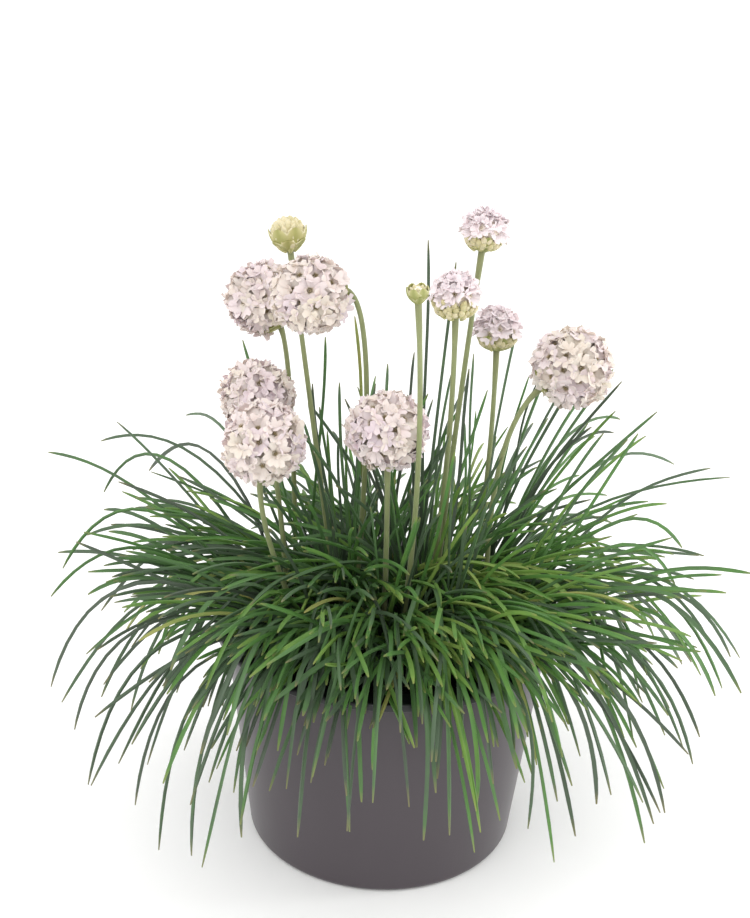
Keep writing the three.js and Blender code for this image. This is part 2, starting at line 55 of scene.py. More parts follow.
# The pots and the soil, in millimetres, as in the frame
COVER_TOP_RADIUS = 60.9
COVER_BASE_RADIUS = 51.4
COVER_HEIGHT = 86.1
COVER_WALL = 2.0
COVER_FLOOR = 2.4
COVER_CORNER = 3.0
RIM_ROUNDING = 0.6
FOOT_NOTCHES = 8
FOOT_NOTCH_WIDTH = 23.0
FOOT_NOTCH_HEIGHT = 1.0
FOOT_NOTCH_INNER_RADIUS = 40.0
LIP_RADIUS = 65.0
LIP_TOP = 89.4
LIP_THICKNESS = 3.0
LIP_ROUNDING = 1.2
GROWER_WALL = 1.4
GROWER_CLEARANCE = 0.8
GROWER_FLOOR_Z = 5.0
DRAIN_HOLES = 6
DRAIN_HOLE_RADIUS = 4.5
DRAIN_RING_RADIUS = 30.0
SOIL_TOP = 79.0
SOIL_MOUND = 2.0
SOIL_RELIEF = 0.6
SEAT_GAP = 0.3

# Crowns and leaves, in millimetres and degrees, as in the frame
CROWN_RADIUS = 9.5
CROWN_HEIGHT = 12.0
CROWN_Z = 95.0
CROWN_MARGIN = 1.8
LEAF_WIDTH = 2.6
LEAF_ROOT_OFFSET = 3.0
LEAF_ROOT_Z = 90.0
LEAF_GAP = 3.1
LEAF_TRIES = 60
ADDED_LEAF_TRIES = 20
LEAF_CHECKS = 9
LEAF_SEED = 20
LONG_LEAF_SHIFTS = (12, 8, 12)
HEAD_CLEARANCE = 0.8
FREE_LENGTH = 22.0
LOWEST_TIP = 18.0
LOWEST_ADDED_TIP = 44.0
TALL_TIP = 155.0
SLIM_TIPS = (105.0, 145.0)
POT_CLEARANCE = 2.2
POT_MOUTH_RADIUS = 54.0


def named(columns, *rows):
    """Rows of values as dictionaries, by the names of their columns."""
    return [dict(zip(columns.split(), row)) for row in rows]


def by_name(columns, *rows):
    """The same rows, each under its first value."""
    return {row[0]: entry for row, entry in zip(rows, named(columns, *rows))}


# Each crown: its middle, the heading and half width of its fan and the length of its leaves, then how many
# leaves of each habit it has in the frame, and how many are added, by those habits and by each added one
CROWNS = by_name(
    "name at heading fan length arching spreading upright more filling stiff tall",
    ("a", (-34, 20), 160, 36, 0.75, 3, 4, 0, 4, 4, 3, 0),
    ("b", (-37, -2), 192, 40, 0.9, 6, 5, 0, 12, 8, 6, 0),
    ("c", (-20.5, -14), 234, 48, 0.95, 11, 6, 1, 36, 50, 12, 0),
    ("d", (-17, 10), 220, 150, 0.85, 0, 10, 6, 60, 56, 20, 5),
    ("e", (-0.5, -14), 270, 64, 0.84, 11, 7, 3, 54, 66, 18, 2),
    ("f", (14, 9), 290, 160, 0.88, 0, 10, 8, 56, 60, 20, 7),
    ("g", (38, -5), 350, 40, 1, 8, 6, 2, 18, 12, 8, 0),
    ("h", (30, 20), 35, 40, 1, 3, 7, 9, 6, 8, 4, 2),
    ("i", (-2, 33), 80, 60, 0.78, 4, 5, 4, 24, 12, 8, 4),
    ("j", (19.5, -14), 304, 48, 0.94, 11, 6, 2, 46, 56, 20, 1),
)

# Each habit of leaf: the low and high bounds of its two legs' lengths and elevations
HABITS = by_name(
    "name first_leg first_rise second_leg second_rise",
    ("upright", (40, 58), (58, 80), (34, 62), (30, 66)),
    ("spreading", (44, 64), (30, 52), (32, 54), (-38, 8)),
    ("arching", (54, 80), (44, 68), (66, 110), (-78, -54)),
)

# The same for leaves that the frame doesn't have, with the half width of the sector that they fan over
ADDED = by_name(
    "name first_leg first_rise second_leg second_rise fan",
    ("filling", (36, 54), (34, 76), (44, 80), (-64, 16), 84),
    ("stiff", (36, 56), (10, 50), (36, 66), (-50, 34), 70),
    ("tall", (46, 62), (66, 86), (44, 66), (50, 86), 180),
)
SHORTEST_SHARE = 0.7
PLANT_REACH = (132.0, 112.0)

# The longest leaves: crown, heading, then how far out and how high the middle and the tip are
LONG_LEAVES = (
    ("b", 172, 47, 131, 89, 145),
    ("a", 150, 45, 132, 97, 126),
    ("a", 160, 50, 134, 84, 112),
    ("a", 138, 46, 131, 90, 108),
    ("b", 180, 34, 121, 72, 118),
    ("b", 187, 46, 134, 80, 109),
    ("b", 194, 46, 122, 84, 103),
    ("b", 202, 42, 112, 76, 98),
    ("c", 195, 64, 119, 99, 76),
    ("c", 200, 60, 106, 92, 62),
    ("c", 206, 58, 100, 90, 45),
    ("c", 214, 51, 94, 77, 40),
    ("c", 222, 51, 92, 74, 26),
    ("c", 232, 50, 93, 69, 28),
    ("c", 244, 45, 96, 59, 36),
    ("a", 122, 52, 128, 106, 122),
    ("h", 35, 52, 130, 104, 121),
    ("h", 50, 50, 135, 98, 134),
    ("h", 42, 40, 133, 77, 137),
    ("g", 20, 40, 126, 76, 111),
    ("g", 8, 38, 122, 68, 103),
    ("g", -12, 50, 117, 86, 90),
    ("g", -20, 50, 112, 83, 80),
    ("g", -27, 46, 106, 81, 68),
    ("j", -32, 62, 112, 99, 73),
    ("j", -40, 60, 106, 97, 60),
    ("j", -50, 56, 104, 80, 62),
    ("j", -62, 53, 98, 65, 48),
    ("e", -62, 54, 102, 68, 60),
    ("e", -76, 48, 98, 64, 45),
    ("e", -92, 45, 98, 61, 72),
    ("c", -76, 47, 98, 64, 60),
    ("f", 110, 3, 160, 12, 228),
    ("f", 70, 5, 160, 13, 220),
    ("i", 175, 5, 140, 12, 195),
    ("i", 160, 3, 135, 6, 184),
    ("a", 30, 4, 140, 5, 190),
    ("a", 160, 9, 140, 22, 186),
    ("h", 25, 12, 136, 22, 173),
    ("h", 35, 14, 132, 30, 168),
    ("d", 235, 52, 118, 98, 62),
    ("d", 262, 50, 120, 96, 70),
    ("d", 285, 54, 118, 100, 66),
    ("f", 250, 50, 120, 96, 72),
    ("f", 275, 54, 121, 102, 60),
    ("f", 305, 56, 117, 104, 64),
)

# Flowers: stage, crown, foot of the stalk, the point it bends towards, centre and radius of the head
FLOWERS = named(
    "stage crown foot bend head radius",
    ("opening", "d", (-18, 8), (-28.7, 6, 157), (-40.4, 18, 230), 7),
    ("open", "a", (-36, 22), (-38, 24, 185), (-50, 26, 203), 13.6),
    ("open", "d", (-13, 8), (-5, -2, 218), (-30, -12, 217), 13.6),
    ("open", "b", (-37, -1), (-39.5, 1.5, 135), (-50, 6, 172), 13.6),
    ("open", "c", (-24, -16), (-48, -26, 132), (-44, -34, 171), 14.2),
    ("open", "e", (-1, -14), (-1, -20, 135), (-2.5, -24, 173), 14),
    ("bud", "e", (4, -15), (12, -37, 156), (5.7, -40, 227), 3.6),
    ("unfolding", "f", (14, 7), (21.5, -6, 155), (19, -8, 217), 8.6),
    ("half_open", "f", (17, 11), (21, 1, 159), (28.3, 6, 236.5), 8),
    ("half_open", "h", (31, 19), (37, 15, 136), (36, 24, 195), 8.6),
    ("open", "g", (38, -4), (31, 6, 163), (61.5, 2, 189.5), 14.4),
)
STALK_STEPS = 6
STALK_FOOT_Z = 88.0

# The cup of bracts at each stage: how far it spreads from the stalk in degrees and its radius as a share of
# the head's, as in the frame, then its rows of bracts, how many are in a row, their half width and how far
# their tips flare as shares of its radius, and their tone from green to straw
CUPS = by_name(
    "stage cup cup_share rows in_row bract flare straw",
    ("open", 30, 0.9, 2, 7, 0.5, 0.05, 0.5),
    ("half_open", 74, 0.88, 3, 8, 0.5, 0.05, 0.5),
    ("unfolding", 74, 0.88, 3, 8, 0.46, 0.04, 1.0),
    ("opening", 98, 0.94, 2, 6, 0.94, 0.08, 0.9),
    ("bud", 126, 1.0, 2, 6, 0.8, 0.06, 0.6),
)

# The florets at each stage: the radius of their heart and how much wider the head is at its top, the numbers
# of open and of closed ones for a whole ball, the angles from the stalk where the closed and the open ones
# start, how wide these open, how much the open and the closed ones lean up, their size, the reach of the
# open and of the closed ones, and the tones of the open ones
FLORETS = by_name(
    "stage heart splay open closed lowest opens wide lift rise size reach tucked tones",
    ("open", 0.72, 0, 58, 0, 34, 34, 78, 0, 0, 1.0, 1.03, 1.0, (0.16, 0.7)),
    ("half_open", 0.74, 0, 38, 160, 56, 84, 72, 0.35, 1.1, 0.84, 1.1, 0.9, (0.0, 0.08)),
    ("unfolding", 0.74, 0, 44, 170, 56, 98, 72, 0.3, 1.2, 0.8, 1.1, 0.98, (0.0, 0.08)),
    ("opening", 0.6, 0.08, 0, 130, 66, 181, 0, 0, 1.1, 0.95, 1.0, 0.88),
    ("bud", 0.7, 0.34, 0, 60, 90, 181, 0, 0, 1.8, 0.5, 1.0, 0.84),
)
STAGES = {stage: {**CUPS[stage], **FLORETS[stage]} for stage in CUPS}
PETALS = 5
PETAL_START = 42
PETAL_THROAT = 0.08

# The camera stands where the photograph was taken from
CAMERA_PLACE = (0, -513.9, 369.7)
CAMERA_YAW = -0.74
CAMERA_PITCH = 22.93
CAMERA_ROLL = 2.01
FOCAL_PIXELS = 1542.0
PICTURE_HEIGHT = 918.0
SENSOR_HEIGHT = 36.0

# What each corner of a soft piece carries for its material: a tone, and its place along and across
TRAITS = ("tone", "along", "across")

# The peat's lumps, coarse and fine: their size and height in millimetres, and where their noise is cut
PEAT_LUMPS = ((3.1, 0.7, 0), (1.3, 0.5, 9))
SOIL_RINGS = 48

# Stalks: how deep they stand in the soil, how they thin upwards, and the sheath under the head
STALK_DEPTH = 2
STALK_FOOT_SHARE = 1.08
STALK_THINNING = 0.12
SHEATH_LENGTH = 16
SHEATH_SWELL = 0.38

# Bracts, as shares of their cup's radius, of its angle and of their run
BRACT_THICKNESS = 0.06
BRACT_OVERLAP = 0.72
BRACT_POINT = 0.26
INNER_BRACT_STEP = 0.03

# Blades: their width as a share of the frame's leaves', by a least one, what a draw adds and what is left of
# it on tall leaves, at the tip and at the root; how far their roots spread in the crown and how deep they
# stand; their roll at the root and their twist along them in radians; how their rings crowd towards the tip;
# and their section's heights as shares of the thickness
BLADE_SHARE = 0.4
BLADE_SHARE_DRAWN = 0.3
BLADE_SHARE_TALL = 0.72
TIP_SHARE = 0.34
ROOT_SHARE = 0.62
ROOT_SPREAD = 0.75
ROOT_DEPTH = 3
BLADE_ROLL = 0.9
BLADE_TWIST = 2.2
RING_CROWDING = 1.35
CHANNEL_HEIGHT = 0.12
KEEL_HEIGHT = -0.62
UPPER_EDGE_HEIGHT = 0.38
LOWER_EDGE_HEIGHT = -0.02
LOWER_EDGE_SHARE = 0.86

# A leaf's tone from bluish to yellow green: its mean and spread, what each millimetre of the tip's height
# adds between the lowest and the top, what the tallest lose, what each millimetre loses past a reach, what
# some leaves at the right gain as painted light, and the tone of the few straw-coloured ones
TONE_MEAN = 0.42
TONE_SPREAD = 0.3
TONE_BY_HEIGHT = 0.0034
TONE_HEIGHTS = (105, 135)
TALL_LOSS = 0.3
TALL_START = 125
TONE_BY_REACH = 0.004
TONE_REACH = 80
RIGHT_START = 20
RIGHT_PAINTED_LIGHT = 0.2
RIGHT_LEAVES = 0.6
TONE_RANGE = (0.02, 0.84)
STRAW_LEAVES = 0.015
STRAW_TONE = 0.86

# Petals: the steps of their run, the depth and width of the notch, the ruffles' heights, how one side lies
# over the next petal, how the limb's end is rounded, the claw's share of the width, and the closed tone
PETAL_STEPS = 24
NOTCH_DEPTH = 0.24
NOTCH_WIDTH = 0.32
BROAD_RUFFLE = 0.09
NARROW_RUFFLE = 0.06
PETAL_OVERLAP = 0.14
LIMB_ROUNDING = 0.17
CLAW_SHARE = 0.2
CLOSED_TONE = 0.84

# Calyces: their ribs and how high these stand as a share of the radius, as on rolled up petals
RIBS = 5
RIB_HEIGHT = 0.14

# The sides and rings of a blade and of a stalk, and the columns and rows of a petal or a bract
BLADE_MESH = (6, 14)
STALK_MESH = (10, 26)
SHEET_MESH = (4, 4)

# Angles in degrees past which an edge shows as one
POT_EDGE = 32
LUMP_EDGE = 40
SOIL_EDGE = 50
BLADE_EDGE = 55
FLOWER_EDGE = 60

# A random turn about an axis, in radians, and how far a floret may lean aside
ANY_TURN = 6.28
FLORET_LEAN = 0.42

# The materials of a head, by their places in its list
PETAL, CALYX, ANTHER, HEART = range(4)

# Where the draws of each kind of piece start
CRUMB_SEED = 31
GRAIN_SEED = 32
BLADE_SEED = 200
BRACT_SEED = 300
FLORET_SEED = 400


def linear(hexa):
    """A colour given as sRGB hex digits, as linear red, green, blue and alpha."""
    parts = [int(hexa[i:i + 2], 16) / 255 for i in (0, 2, 4)]
    return tuple(p / 12.92 if p <= 0.04045 else ((p + 0.055) / 1.055) ** 2.4 for p in parts) + (1.0,)


def colour_setting(name, description, hexa):
    return bpy.props.FloatVectorProperty(
        name=name, description=description, subtype="COLOR", size=4, min=0, max=1, default=linear(hexa))


def length_setting(name, description, millimetres):
    return bpy.props.FloatProperty(
        name=name, description=description, unit="LENGTH", subtype="DISTANCE", min=0,
        default=millimetres * MM)


class PotSettings(bpy.types.PropertyGroup):
    cover_colour: colour_setting("Cover pot", "Colour of the outer pot", "413a3f")
    grower_colour: colour_setting("Grower's pot", "Colour of the inner pot and its lip", "17181a")
    steps: bpy.props.IntProperty(name="Steps", description="Steps round each pot", min=24, default=128)


class SoilSettings(bpy.types.PropertyGroup):
    colour: colour_setting("Peat", "Colour of the moist peat", "1c1612")
    crumbs: bpy.props.IntProperty(name="Crumbs", description="Loose crumbs of peat", min=0, default=1500)
    crumb_size: length_setting("Crumb size", "Radius of the largest crumbs", 1.7)
    grains: bpy.props.IntProperty(name="Perlite", description="Pale grains in the peat", min=0, default=240)
    grain_size: length_setting("Grain size", "Radius of the largest pale grains", 1.2)


class LeafSettings(bpy.types.PropertyGroup):
    width: length_setting("Width", "Width of the frame's leaves, of which a blade has a share", LEAF_WIDTH)
    thickness: length_setting("Thickness", "Thickness of a leaf over its keel", 1.1)
    more: bpy.props.FloatProperty(
        name="More leaves", description="Share of the leaves added to the crowns", subtype="FACTOR",
        min=0, max=2, default=1)
    sway: length_setting("Sway", "How far a leaf wanders from its smooth curve", 1.8)


class FlowerSettings(bpy.types.PropertyGroup):
    petal_length: length_setting("Petal length", "Length of a petal of an open floret", 5.6)
    petal_width: length_setting("Petal width", "Width of a petal of an open floret", 4.8)
    petal_thickness: length_setting("Petal thickness", "Thickness of a petal", 0.1)
    stalk_radius: length_setting("Stalk radius", "Radius of a flower stalk", 0.95)


class StageSettings(bpy.types.PropertyGroup):
    floor_colour: colour_setting("Floor", "Colour of the studio floor", "fcfcfb")
    floor_size: bpy.props.FloatProperty(
        name="Floor size", description="Side of the floor", unit="LENGTH", subtype="DISTANCE", min=1,
        default=24)
    world_strength: bpy.props.FloatProperty(
        name="Surround", description="Strength of the white surround", min=0, default=1.06)
    top_strength: bpy.props.FloatProperty(
        name="Top light", description="Strength of the broad light overhead", min=0, default=1.2)
    side_power: bpy.props.FloatProperty(
        name="Side light", description="Power of the tall light at the right", unit="POWER", min=0, default=2)


def add_node(tree, kind, inputs, output=0, stops=(), **fields):
    """Adds a node, sets its fields and its ramp's stops, as places with hex colours, greys or linear colours,
    fills each input with a value or a link, and gives one of its outputs."""
    node = tree.nodes.new("ShaderNode" + kind)
    for field, value in fields.items():
        setattr(node, field, value)
    for index, place in enumerate(stops):
        colour = stops[place]
        ramp = node.color_ramp.elements
        stop = ramp[index] if index < 2 else ramp.new(place)
        stop.position = place
        if isinstance(colour, str):
            colour = linear(colour)
        stop.color = (colour,) * 3 + (1.0,) if isinstance(colour, float) else colour
    for socket, value in inputs.items():
        if isinstance(value, bpy.types.NodeSocket):
            tree.links.new(value, node.inputs[socket])
        else:
            node.inputs[socket].default_value = value
    return node.outputs[output] if node.outputs else None


def new_material(name):
    """An empty node material, with the function that adds a node to it."""
    material = bpy.data.materials.new(name)
    material.use_nodes = True
    material.node_tree.nodes.clear()
    return material, partial(add_node, material.node_tree)


def finished(material, **inputs):
    """The material with a shader of the inputs named, where an underscore stands for a space."""
    tree = material.node_tree
    shader = add_node(tree, "BsdfPrincipled", {name.replace("_", " "): v for name, v in inputs.items()})
    add_node(tree, "OutputMaterial", {"Surface": shader})
    return material


def moulded_polypropylene(name, colour, roughness, grain):
    """Injection-moulded polypropylene: a satin skin with a faint orange peel and slight flow marks."""
    material, add = new_material(name)
    place = add("TexCoord", {}, "Object")
    peel = add("TexNoise", {"Vector": place, "Scale": 1 / (grain * MM), "Detail": 3.0, "Roughness": 0.6})
    drawn = add("Mapping", {"Vector": place, "Scale": (1.0, 1.0, 0.16)})
    flow = add("TexNoise", {"Vector": drawn, "Scale": 1 / (22 * MM), "Detail": 2.0, "Roughness": 0.5})
    darker, paler = (tuple(min(1, share * part) for part in colour[:3]) + (1.0,) for share in (0.9, 1.1))
    shade = add("Mix", {"Factor": flow, "A": darker, "B": paler}, "Result", data_type="RGBA")
    gloss = add("MapRange", {"Value": flow, "To Min": roughness - 0.05, "To Max": roughness + 0.06})
    bump = add("Bump", {"Height": peel, "Strength": 0.35, "Distance": 0.05 * MM})
    return finished(material, Base_Color=shade, Roughness=gloss, IOR=1.49, Normal=bump)


def peat_compost(colour):
    """Moist milled peat: almost black, matt, with brown fibres and crumbs down to a third of a millimetre."""
    material, add = new_material("peat_compost_moist")
    place = add("TexCoord", {}, "Object")
    crumb = add("TexNoise", {"Vector": place, "Scale": 1 / (1.4 * MM), "Detail": 5.0, "Roughness": 0.7})
    fibre = add("TexVoronoi", {"Vector": place, "Scale": 1 / (0.9 * MM), "Randomness": 1.0})
    shade = add("ValToRGB", {"Fac": crumb}, stops={0.3: "0c0907", 0.55: colour, 0.8: "3a2d22"})
    bump = add("Bump", {"Height": fibre, "Strength": 0.8, "Distance": 0.5 * MM})
    return finished(material, Base_Color=shade, Roughness=0.93, Normal=bump)


def expanded_perlite():
    """Expanded perlite, a glassy rock foam: chalky off-white grains, stained by the peat in places."""
    material, add = new_material("perlite_expanded")
    place = add("TexCoord", {}, "Object")
    stain = add("TexNoise", {"Vector": place, "Scale": 1 / (1.6 * MM), "Detail": 3.0})
    shade = add("ValToRGB", {"Fac": stain}, stops={0.35: "6d6257", 0.6: "cfc8ba"})
    bump = add("Bump", {"Height": stain, "Strength": 0.7, "Distance": 0.2 * MM})
    return finished(material, Base_Color=shade, Roughness=0.85, Normal=bump)


def veins_along(add, stretch, roughness):
    """The tone of a leaf or petal, the place along it, and noise drawn out along its veins."""
    tone, along, across = (add("Attribute", {}, "Fac", attribute_name=trait) for trait in TRAITS)
    lengthwise = add("CombineXYZ", {"X": across, "Y": along, "Z": tone})
    stretched = add("Mapping", {"Vector": lengthwise, "Scale": stretch})
    veins = add("TexNoise", {"Vector": stretched, "Scale": 1.0, "Detail": 2.0, "Roughness": roughness})
    return tone, along, veins


def fresh_leaf():
    """Living thrift leaf: waxy, from bluish to yellow green leaf by leaf, striped finely along its veins,
    darker towards its base with painted shade, and drying a little at the tip."""
    material, add = new_material("thrift_leaf_fresh")
    tone, along, veins = veins_along(add, (5.0, 3.0, 400.0), 0.6)
    place = add("TexCoord", {}, "Object")
    patch = add("TexNoise", {"Vector": place, "Scale": 1 / (9 * MM), "Detail": 2.0})
    drift = add("Math", {0: patch, 1: 0.5}, operation="SUBTRACT")
    varied = add("Math", {0: drift, 1: 0.35, 2: tone}, operation="MULTIPLY_ADD")
    green = add("ValToRGB", {"Fac": varied}, stops={
        0.0: "4a5747", 0.25: "50674b", 0.5: "55823f", 0.72: "799c49", 0.88: "899b52", 1.0: "9b9a58"})
    streak = add("MapRange", {"Value": veins, "To Min": 0.72, "To Max": 1.1})
    striped = add("VectorMath", {0: green, 1: streak}, operation="MULTIPLY")
    # Painted shade: the colour darkens towards the root and stands in for the shade deep inside the tuft
    painted_base_shade = add("ValToRGB", {"Fac": along}, stops={0.08: 0.36, 0.45: 1.0})
    based = add("VectorMath", {0: striped, 1: painted_base_shade}, operation="MULTIPLY")
    dry = add("ValToRGB", {"Fac": along}, stops={0.96: 0.0, 1.0: 0.4})
    tipped = add("Mix", {"Factor": dry, "A": based, "B": linear("a08f58")}, "Result", data_type="RGBA")
    bump = add("Bump", {"Height": veins, "Strength": 0.4, "Distance": 0.12 * MM})
    return finished(material, Base_Color=tipped, Roughness=0.46, IOR=1.42, Normal=bump)


def fresh_stalk():
    """Leafless flower stalk: smooth, softly downy, olive to lime green, browner at its foot."""
    material, add = new_material("thrift_stalk_downy")
    along = add("Attribute", {}, "Fac", attribute_name="along")
    place = add("TexCoord", {}, "Object")
    drawn = add("Mapping", {"Vector": place, "Scale": (1.0, 1.0, 0.12)})
    streak = add("TexNoise", {"Vector": drawn, "Scale": 1 / (0.8 * MM), "Detail": 3.0})
    green = add("ValToRGB", {"Fac": along}, stops={
        0.0: "727a48", 0.45: "848e5c", 0.85: "929a6a", 1.0: "868a5c"})
    light = add("MapRange", {"Value": streak, "To Min": 0.66, "To Max": 1.12})
    shade = add("VectorMath", {0: green, 1: light}, operation="MULTIPLY")
    bump = add("Bump", {"Height": streak, "Strength": 0.4, "Distance": 0.1 * MM})
    return finished(material, Base_Color=shade, Roughness=0.6, Sheen_Weight=0.25, Normal=bump)


def papery_bract():
    """Bract under the head: green and leathery down its middle, with a dry, papery, straw-coloured edge."""
    material, add = new_material("thrift_bract_papery")
    tone, along, across = (add("Attribute", {}, "Fac", attribute_name=trait) for trait in TRAITS)
    side = add("Math", {0: across}, operation="ABSOLUTE")
    edge = add("Math", {0: side, 1: along}, operation="MULTIPLY")
    green = add("ValToRGB", {"Fac": edge}, stops={0.05: "6f8046", 0.4: "8d9a5c", 0.85: "b9b98a"})
    straw = add("ValToRGB", {"Fac": edge}, stops={0.05: "a5a260", 0.4: "c2ba82", 0.85: "e0dab6"})
    shade = add("Mix", {"Factor": tone, "A": green, "B": straw}, "Result", data_type="RGBA")
    width = add("CombineXYZ", {"X": across})
    ribs = add("TexWave", {"Vector": width, "Scale": 2.4, "Distortion": 0.4}, "Fac")
    bump = add("Bump", {"Height": ribs, "Strength": 0.3, "Distance": 0.1 * MM})
    return finished(material, Base_Color=shade, Roughness=0.62, Normal=bump)


def papery_petal():
    """Thrift petal: thin, dry and papery, white with a breath of pink or lilac floret by floret, cream
    towards its base and dark olive in the throat, its own olive deepened by painted shade, finely veined
    lengthwise."""
    material, add = new_material("thrift_petal_papery")
    tone, along, veins = veins_along(add, (6.0, 1.2, 300.0), 0.5)
    limb = add("ValToRGB", {"Fac": tone}, stops={
        0.0: "f0e2e3", 0.1: "e8dadc", 0.18: "dbcbd1", 0.32: "dfcfd0", 0.5: "e0d2cc", 0.75: "ddd1c4",
        0.84: "dbd1b0", 1.0: "c6bd8e"})
    # Painted shade: the dark olive at the throat partly stands in for the shade deep in the floret's funnel
    depth = add("ValToRGB", {"Fac": along}, stops={0.0: 1.0, 0.08: 0.9, 0.24: 0.0})
    cream = add("ValToRGB", {"Fac": along}, stops={0.04: "756a50", 0.11: "b8aa90", 0.2: "ecdfd2"})
    based = add("Mix", {"Factor": depth, "A": limb, "B": cream}, "Result", data_type="RGBA")
    streak = add("MapRange", {"Value": veins, "To Min": 0.9, "To Max": 1.06})
    shade = add("VectorMath", {0: based, 1: streak}, operation="MULTIPLY")
    bump = add("Bump", {"Height": veins, "Strength": 0.35, "Distance": 0.12 * MM})
    return finished(
        material, Base_Color=shade, Roughness=0.68, Sheen_Weight=0.2, Subsurface_Weight=0.5,
        Subsurface_Radius=(1.0, 0.9, 0.85), Subsurface_Scale=0.4 * MM, Normal=bump)


def small_part(name, dark, pale):
    """Small soft part inside a head, such as a calyx or an anther: matt, mottled between two colours."""
    material, add = new_material(name)
    place = add("TexCoord", {}, "Object")
    mottle = add("TexNoise", {"Vector": place, "Scale": 1 / (0.9 * MM), "Detail": 2.0})
    shade = add("ValToRGB", {"Fac": mottle}, stops={0.3: dark, 0.7: pale})
    return finished(material, Base_Color=shade, Roughness=0.75)


def matt_board(colour):
    """Matt white studio board, with a tooth too fine to see."""
    material, add = new_material("studio_board_matt")
    place = add("TexCoord", {}, "Object")
    tooth = add("TexNoise", {"Vector": place, "Scale": 1 / (2 * MM), "Detail": 2.0})
    bump = add("Bump", {"Height": tooth, "Strength": 0.05, "Distance": 0.05 * MM})
    return finished(material, Base_Color=colour, Roughness=0.9, Normal=bump)


def arc(centre, radius, start, end, steps):
    """Points of (radius, height) along a round corner of a profile, in degrees."""
    turns = [math.radians(start + (end - start) * step / steps) for step in range(steps + 1)]
    return [(centre[0] + radius * math.cos(turn), centre[1] + radius * math.sin(turn)) for turn in turns]


def cover_radius(z):
    return COVER_BASE_RADIUS + (COVER_TOP_RADIUS - COVER_BASE_RADIUS) * z / COVER_HEIGHT


def grower_radius(z):
    return cover_radius(z) - COVER_WALL - GROWER_CLEARANCE


def spun(profile, steps):
    """A closed body of revolution round Z, from points of (radius, height) in millimetres."""
    bm = bmesh.new()
    corners = [bm.verts.new((radius, 0, height)) for radius, height in profile]
    edges = [bm.edges.new(pair) for pair in zip(corners, corners[1:])]
    bmesh.ops.spin(
        bm, geom=corners + edges, cent=(0, 0, 0), axis=(0, 0, 1), angle=2 * math.pi, steps=steps,
        use_merge=True)
    bmesh.ops.remove_doubles(bm, verts=bm.verts, dist=1e-4)
    bmesh.ops.recalc_face_normals(bm, faces=bm.faces)
    return bm


def mesh_from(bm, name, sharp=None):
    """Ends a bmesh made in millimetres as a smooth mesh in metres, with edges sharp past an angle."""
    bmesh.ops.scale(bm, vec=(MM, MM, MM), verts=bm.verts)
    mesh = bpy.data.meshes.new(name)
    bm.to_mesh(mesh)
    bm.free()
    mesh.shade_smooth()
    if sharp is not None:
        mesh.set_sharp_from_angle(angle=math.radians(sharp))
    return mesh


def without(body, cutter, name):
    """The body less the cutter, both given as bmeshes in millimetres."""
    whole = bpy.data.objects.new("whole", mesh_from(body, "whole"))
    tool = bpy.data.objects.new("tool", mesh_from(cutter, "tool"))
    for helper in (whole, tool):
        bpy.context.scene.collection.objects.link(helper)
    cut = whole.modifiers.new("cut", "BOOLEAN")
    cut.operation = "DIFFERENCE"
    cut.solver = "EXACT"
    cut.object = tool
    shown = whole.evaluated_get(bpy.context.evaluated_depsgraph_get())
    mesh = bpy.data.meshes.new_from_object(shown)
    mesh.name = name
    for helper in (whole, tool):
        bpy.data.objects.remove(helper)
    mesh.shade_smooth()
    mesh.set_sharp_from_angle(angle=math.radians(POT_EDGE))
    return mesh


def add_piece(name, mesh, materials, nodes=()):
    """Adds a finished mesh as a piece that rides with the plant and stands for the named nodes."""
    for material in materials:
        mesh.materials.append(material)
    piece = bpy.data.objects.new(name, mesh)
    bpy.context.scene.collection.objects.link(piece)
    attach(piece, BODY)
    if nodes:
        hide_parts(*nodes)
    return piece


def corners_of(mesh):
    places = np.zeros(len(mesh.vertices) * 3)
    mesh.vertices.foreach_get("co", places)
    return places.reshape(-1, 3)


def gathered(name, rows, sharp):
    """One mesh in metres from many small ones. Each row has a template, its corners in millimetres, the
    number of its material and, for soft pieces, its traits."""
    bm = bmesh.new()
    for template, *_ in rows:
        bm.from_mesh(template)
    mesh = bpy.data.meshes.new(name)
    bm.to_mesh(mesh)
    bm.free()
    templates, corners, materials, *traits = zip(*rows)
    mesh.vertices.foreach_set("co", np.concatenate(corners).ravel() * MM)
    mesh.polygons.foreach_set(
        "material_index", np.repeat(materials, [len(template.polygons) for template in templates]))
    for trait, values in zip(TRAITS, traits):
        spread = [np.broadcast_to(value, len(part)) for value, part in zip(values, corners)]
        mesh.attributes.new(trait, "FLOAT", "POINT").data.foreach_set(
            "value", np.concatenate(spread).astype(np.float32))
    mesh.update()
    mesh.shade_smooth()
    mesh.set_sharp_from_angle(angle=math.radians(sharp))
    return mesh


def template_from(bm, name):
    bmesh.ops.recalc_face_normals(bm, faces=bm.faces)
    mesh = bpy.data.meshes.new(name)
    bm.to_mesh(mesh)
    bm.free()
    return mesh


def rod_template(name, sides, rings, tip):
    """An upright rod one unit high with a section of unit radius, to be bent along a path."""
    bm = bmesh.new()
    bmesh.ops.create_cone(
        bm, cap_ends=True, segments=sides, radius1=1, radius2=tip, depth=1,
        matrix=Matrix.Translation((0, 0, 0.5)))
    for ring in range(1, rings):
        bmesh.ops.bisect_plane(
            bm, geom=bm.verts[:] + bm.edges[:] + bm.faces[:], plane_co=(0, 0, ring / rings),
            plane_no=(0, 0, 1))
    return template_from(bm, name)


def sheet_template(name, columns, rows):
    """A flat sheet one unit thick, two wide and one long, to be shaped into petals and bracts."""
    bm = bmesh.new()
    bmesh.ops.create_grid(
        bm, x_segments=columns, y_segments=rows, size=1,
        matrix=Matrix.Translation((0, 0.5, 0)) @ Matrix.Diagonal((1, 0.5, 1, 1)))
    bmesh.ops.solidify(bm, geom=bm.faces[:], thickness=1)
    return template_from(bm, name)


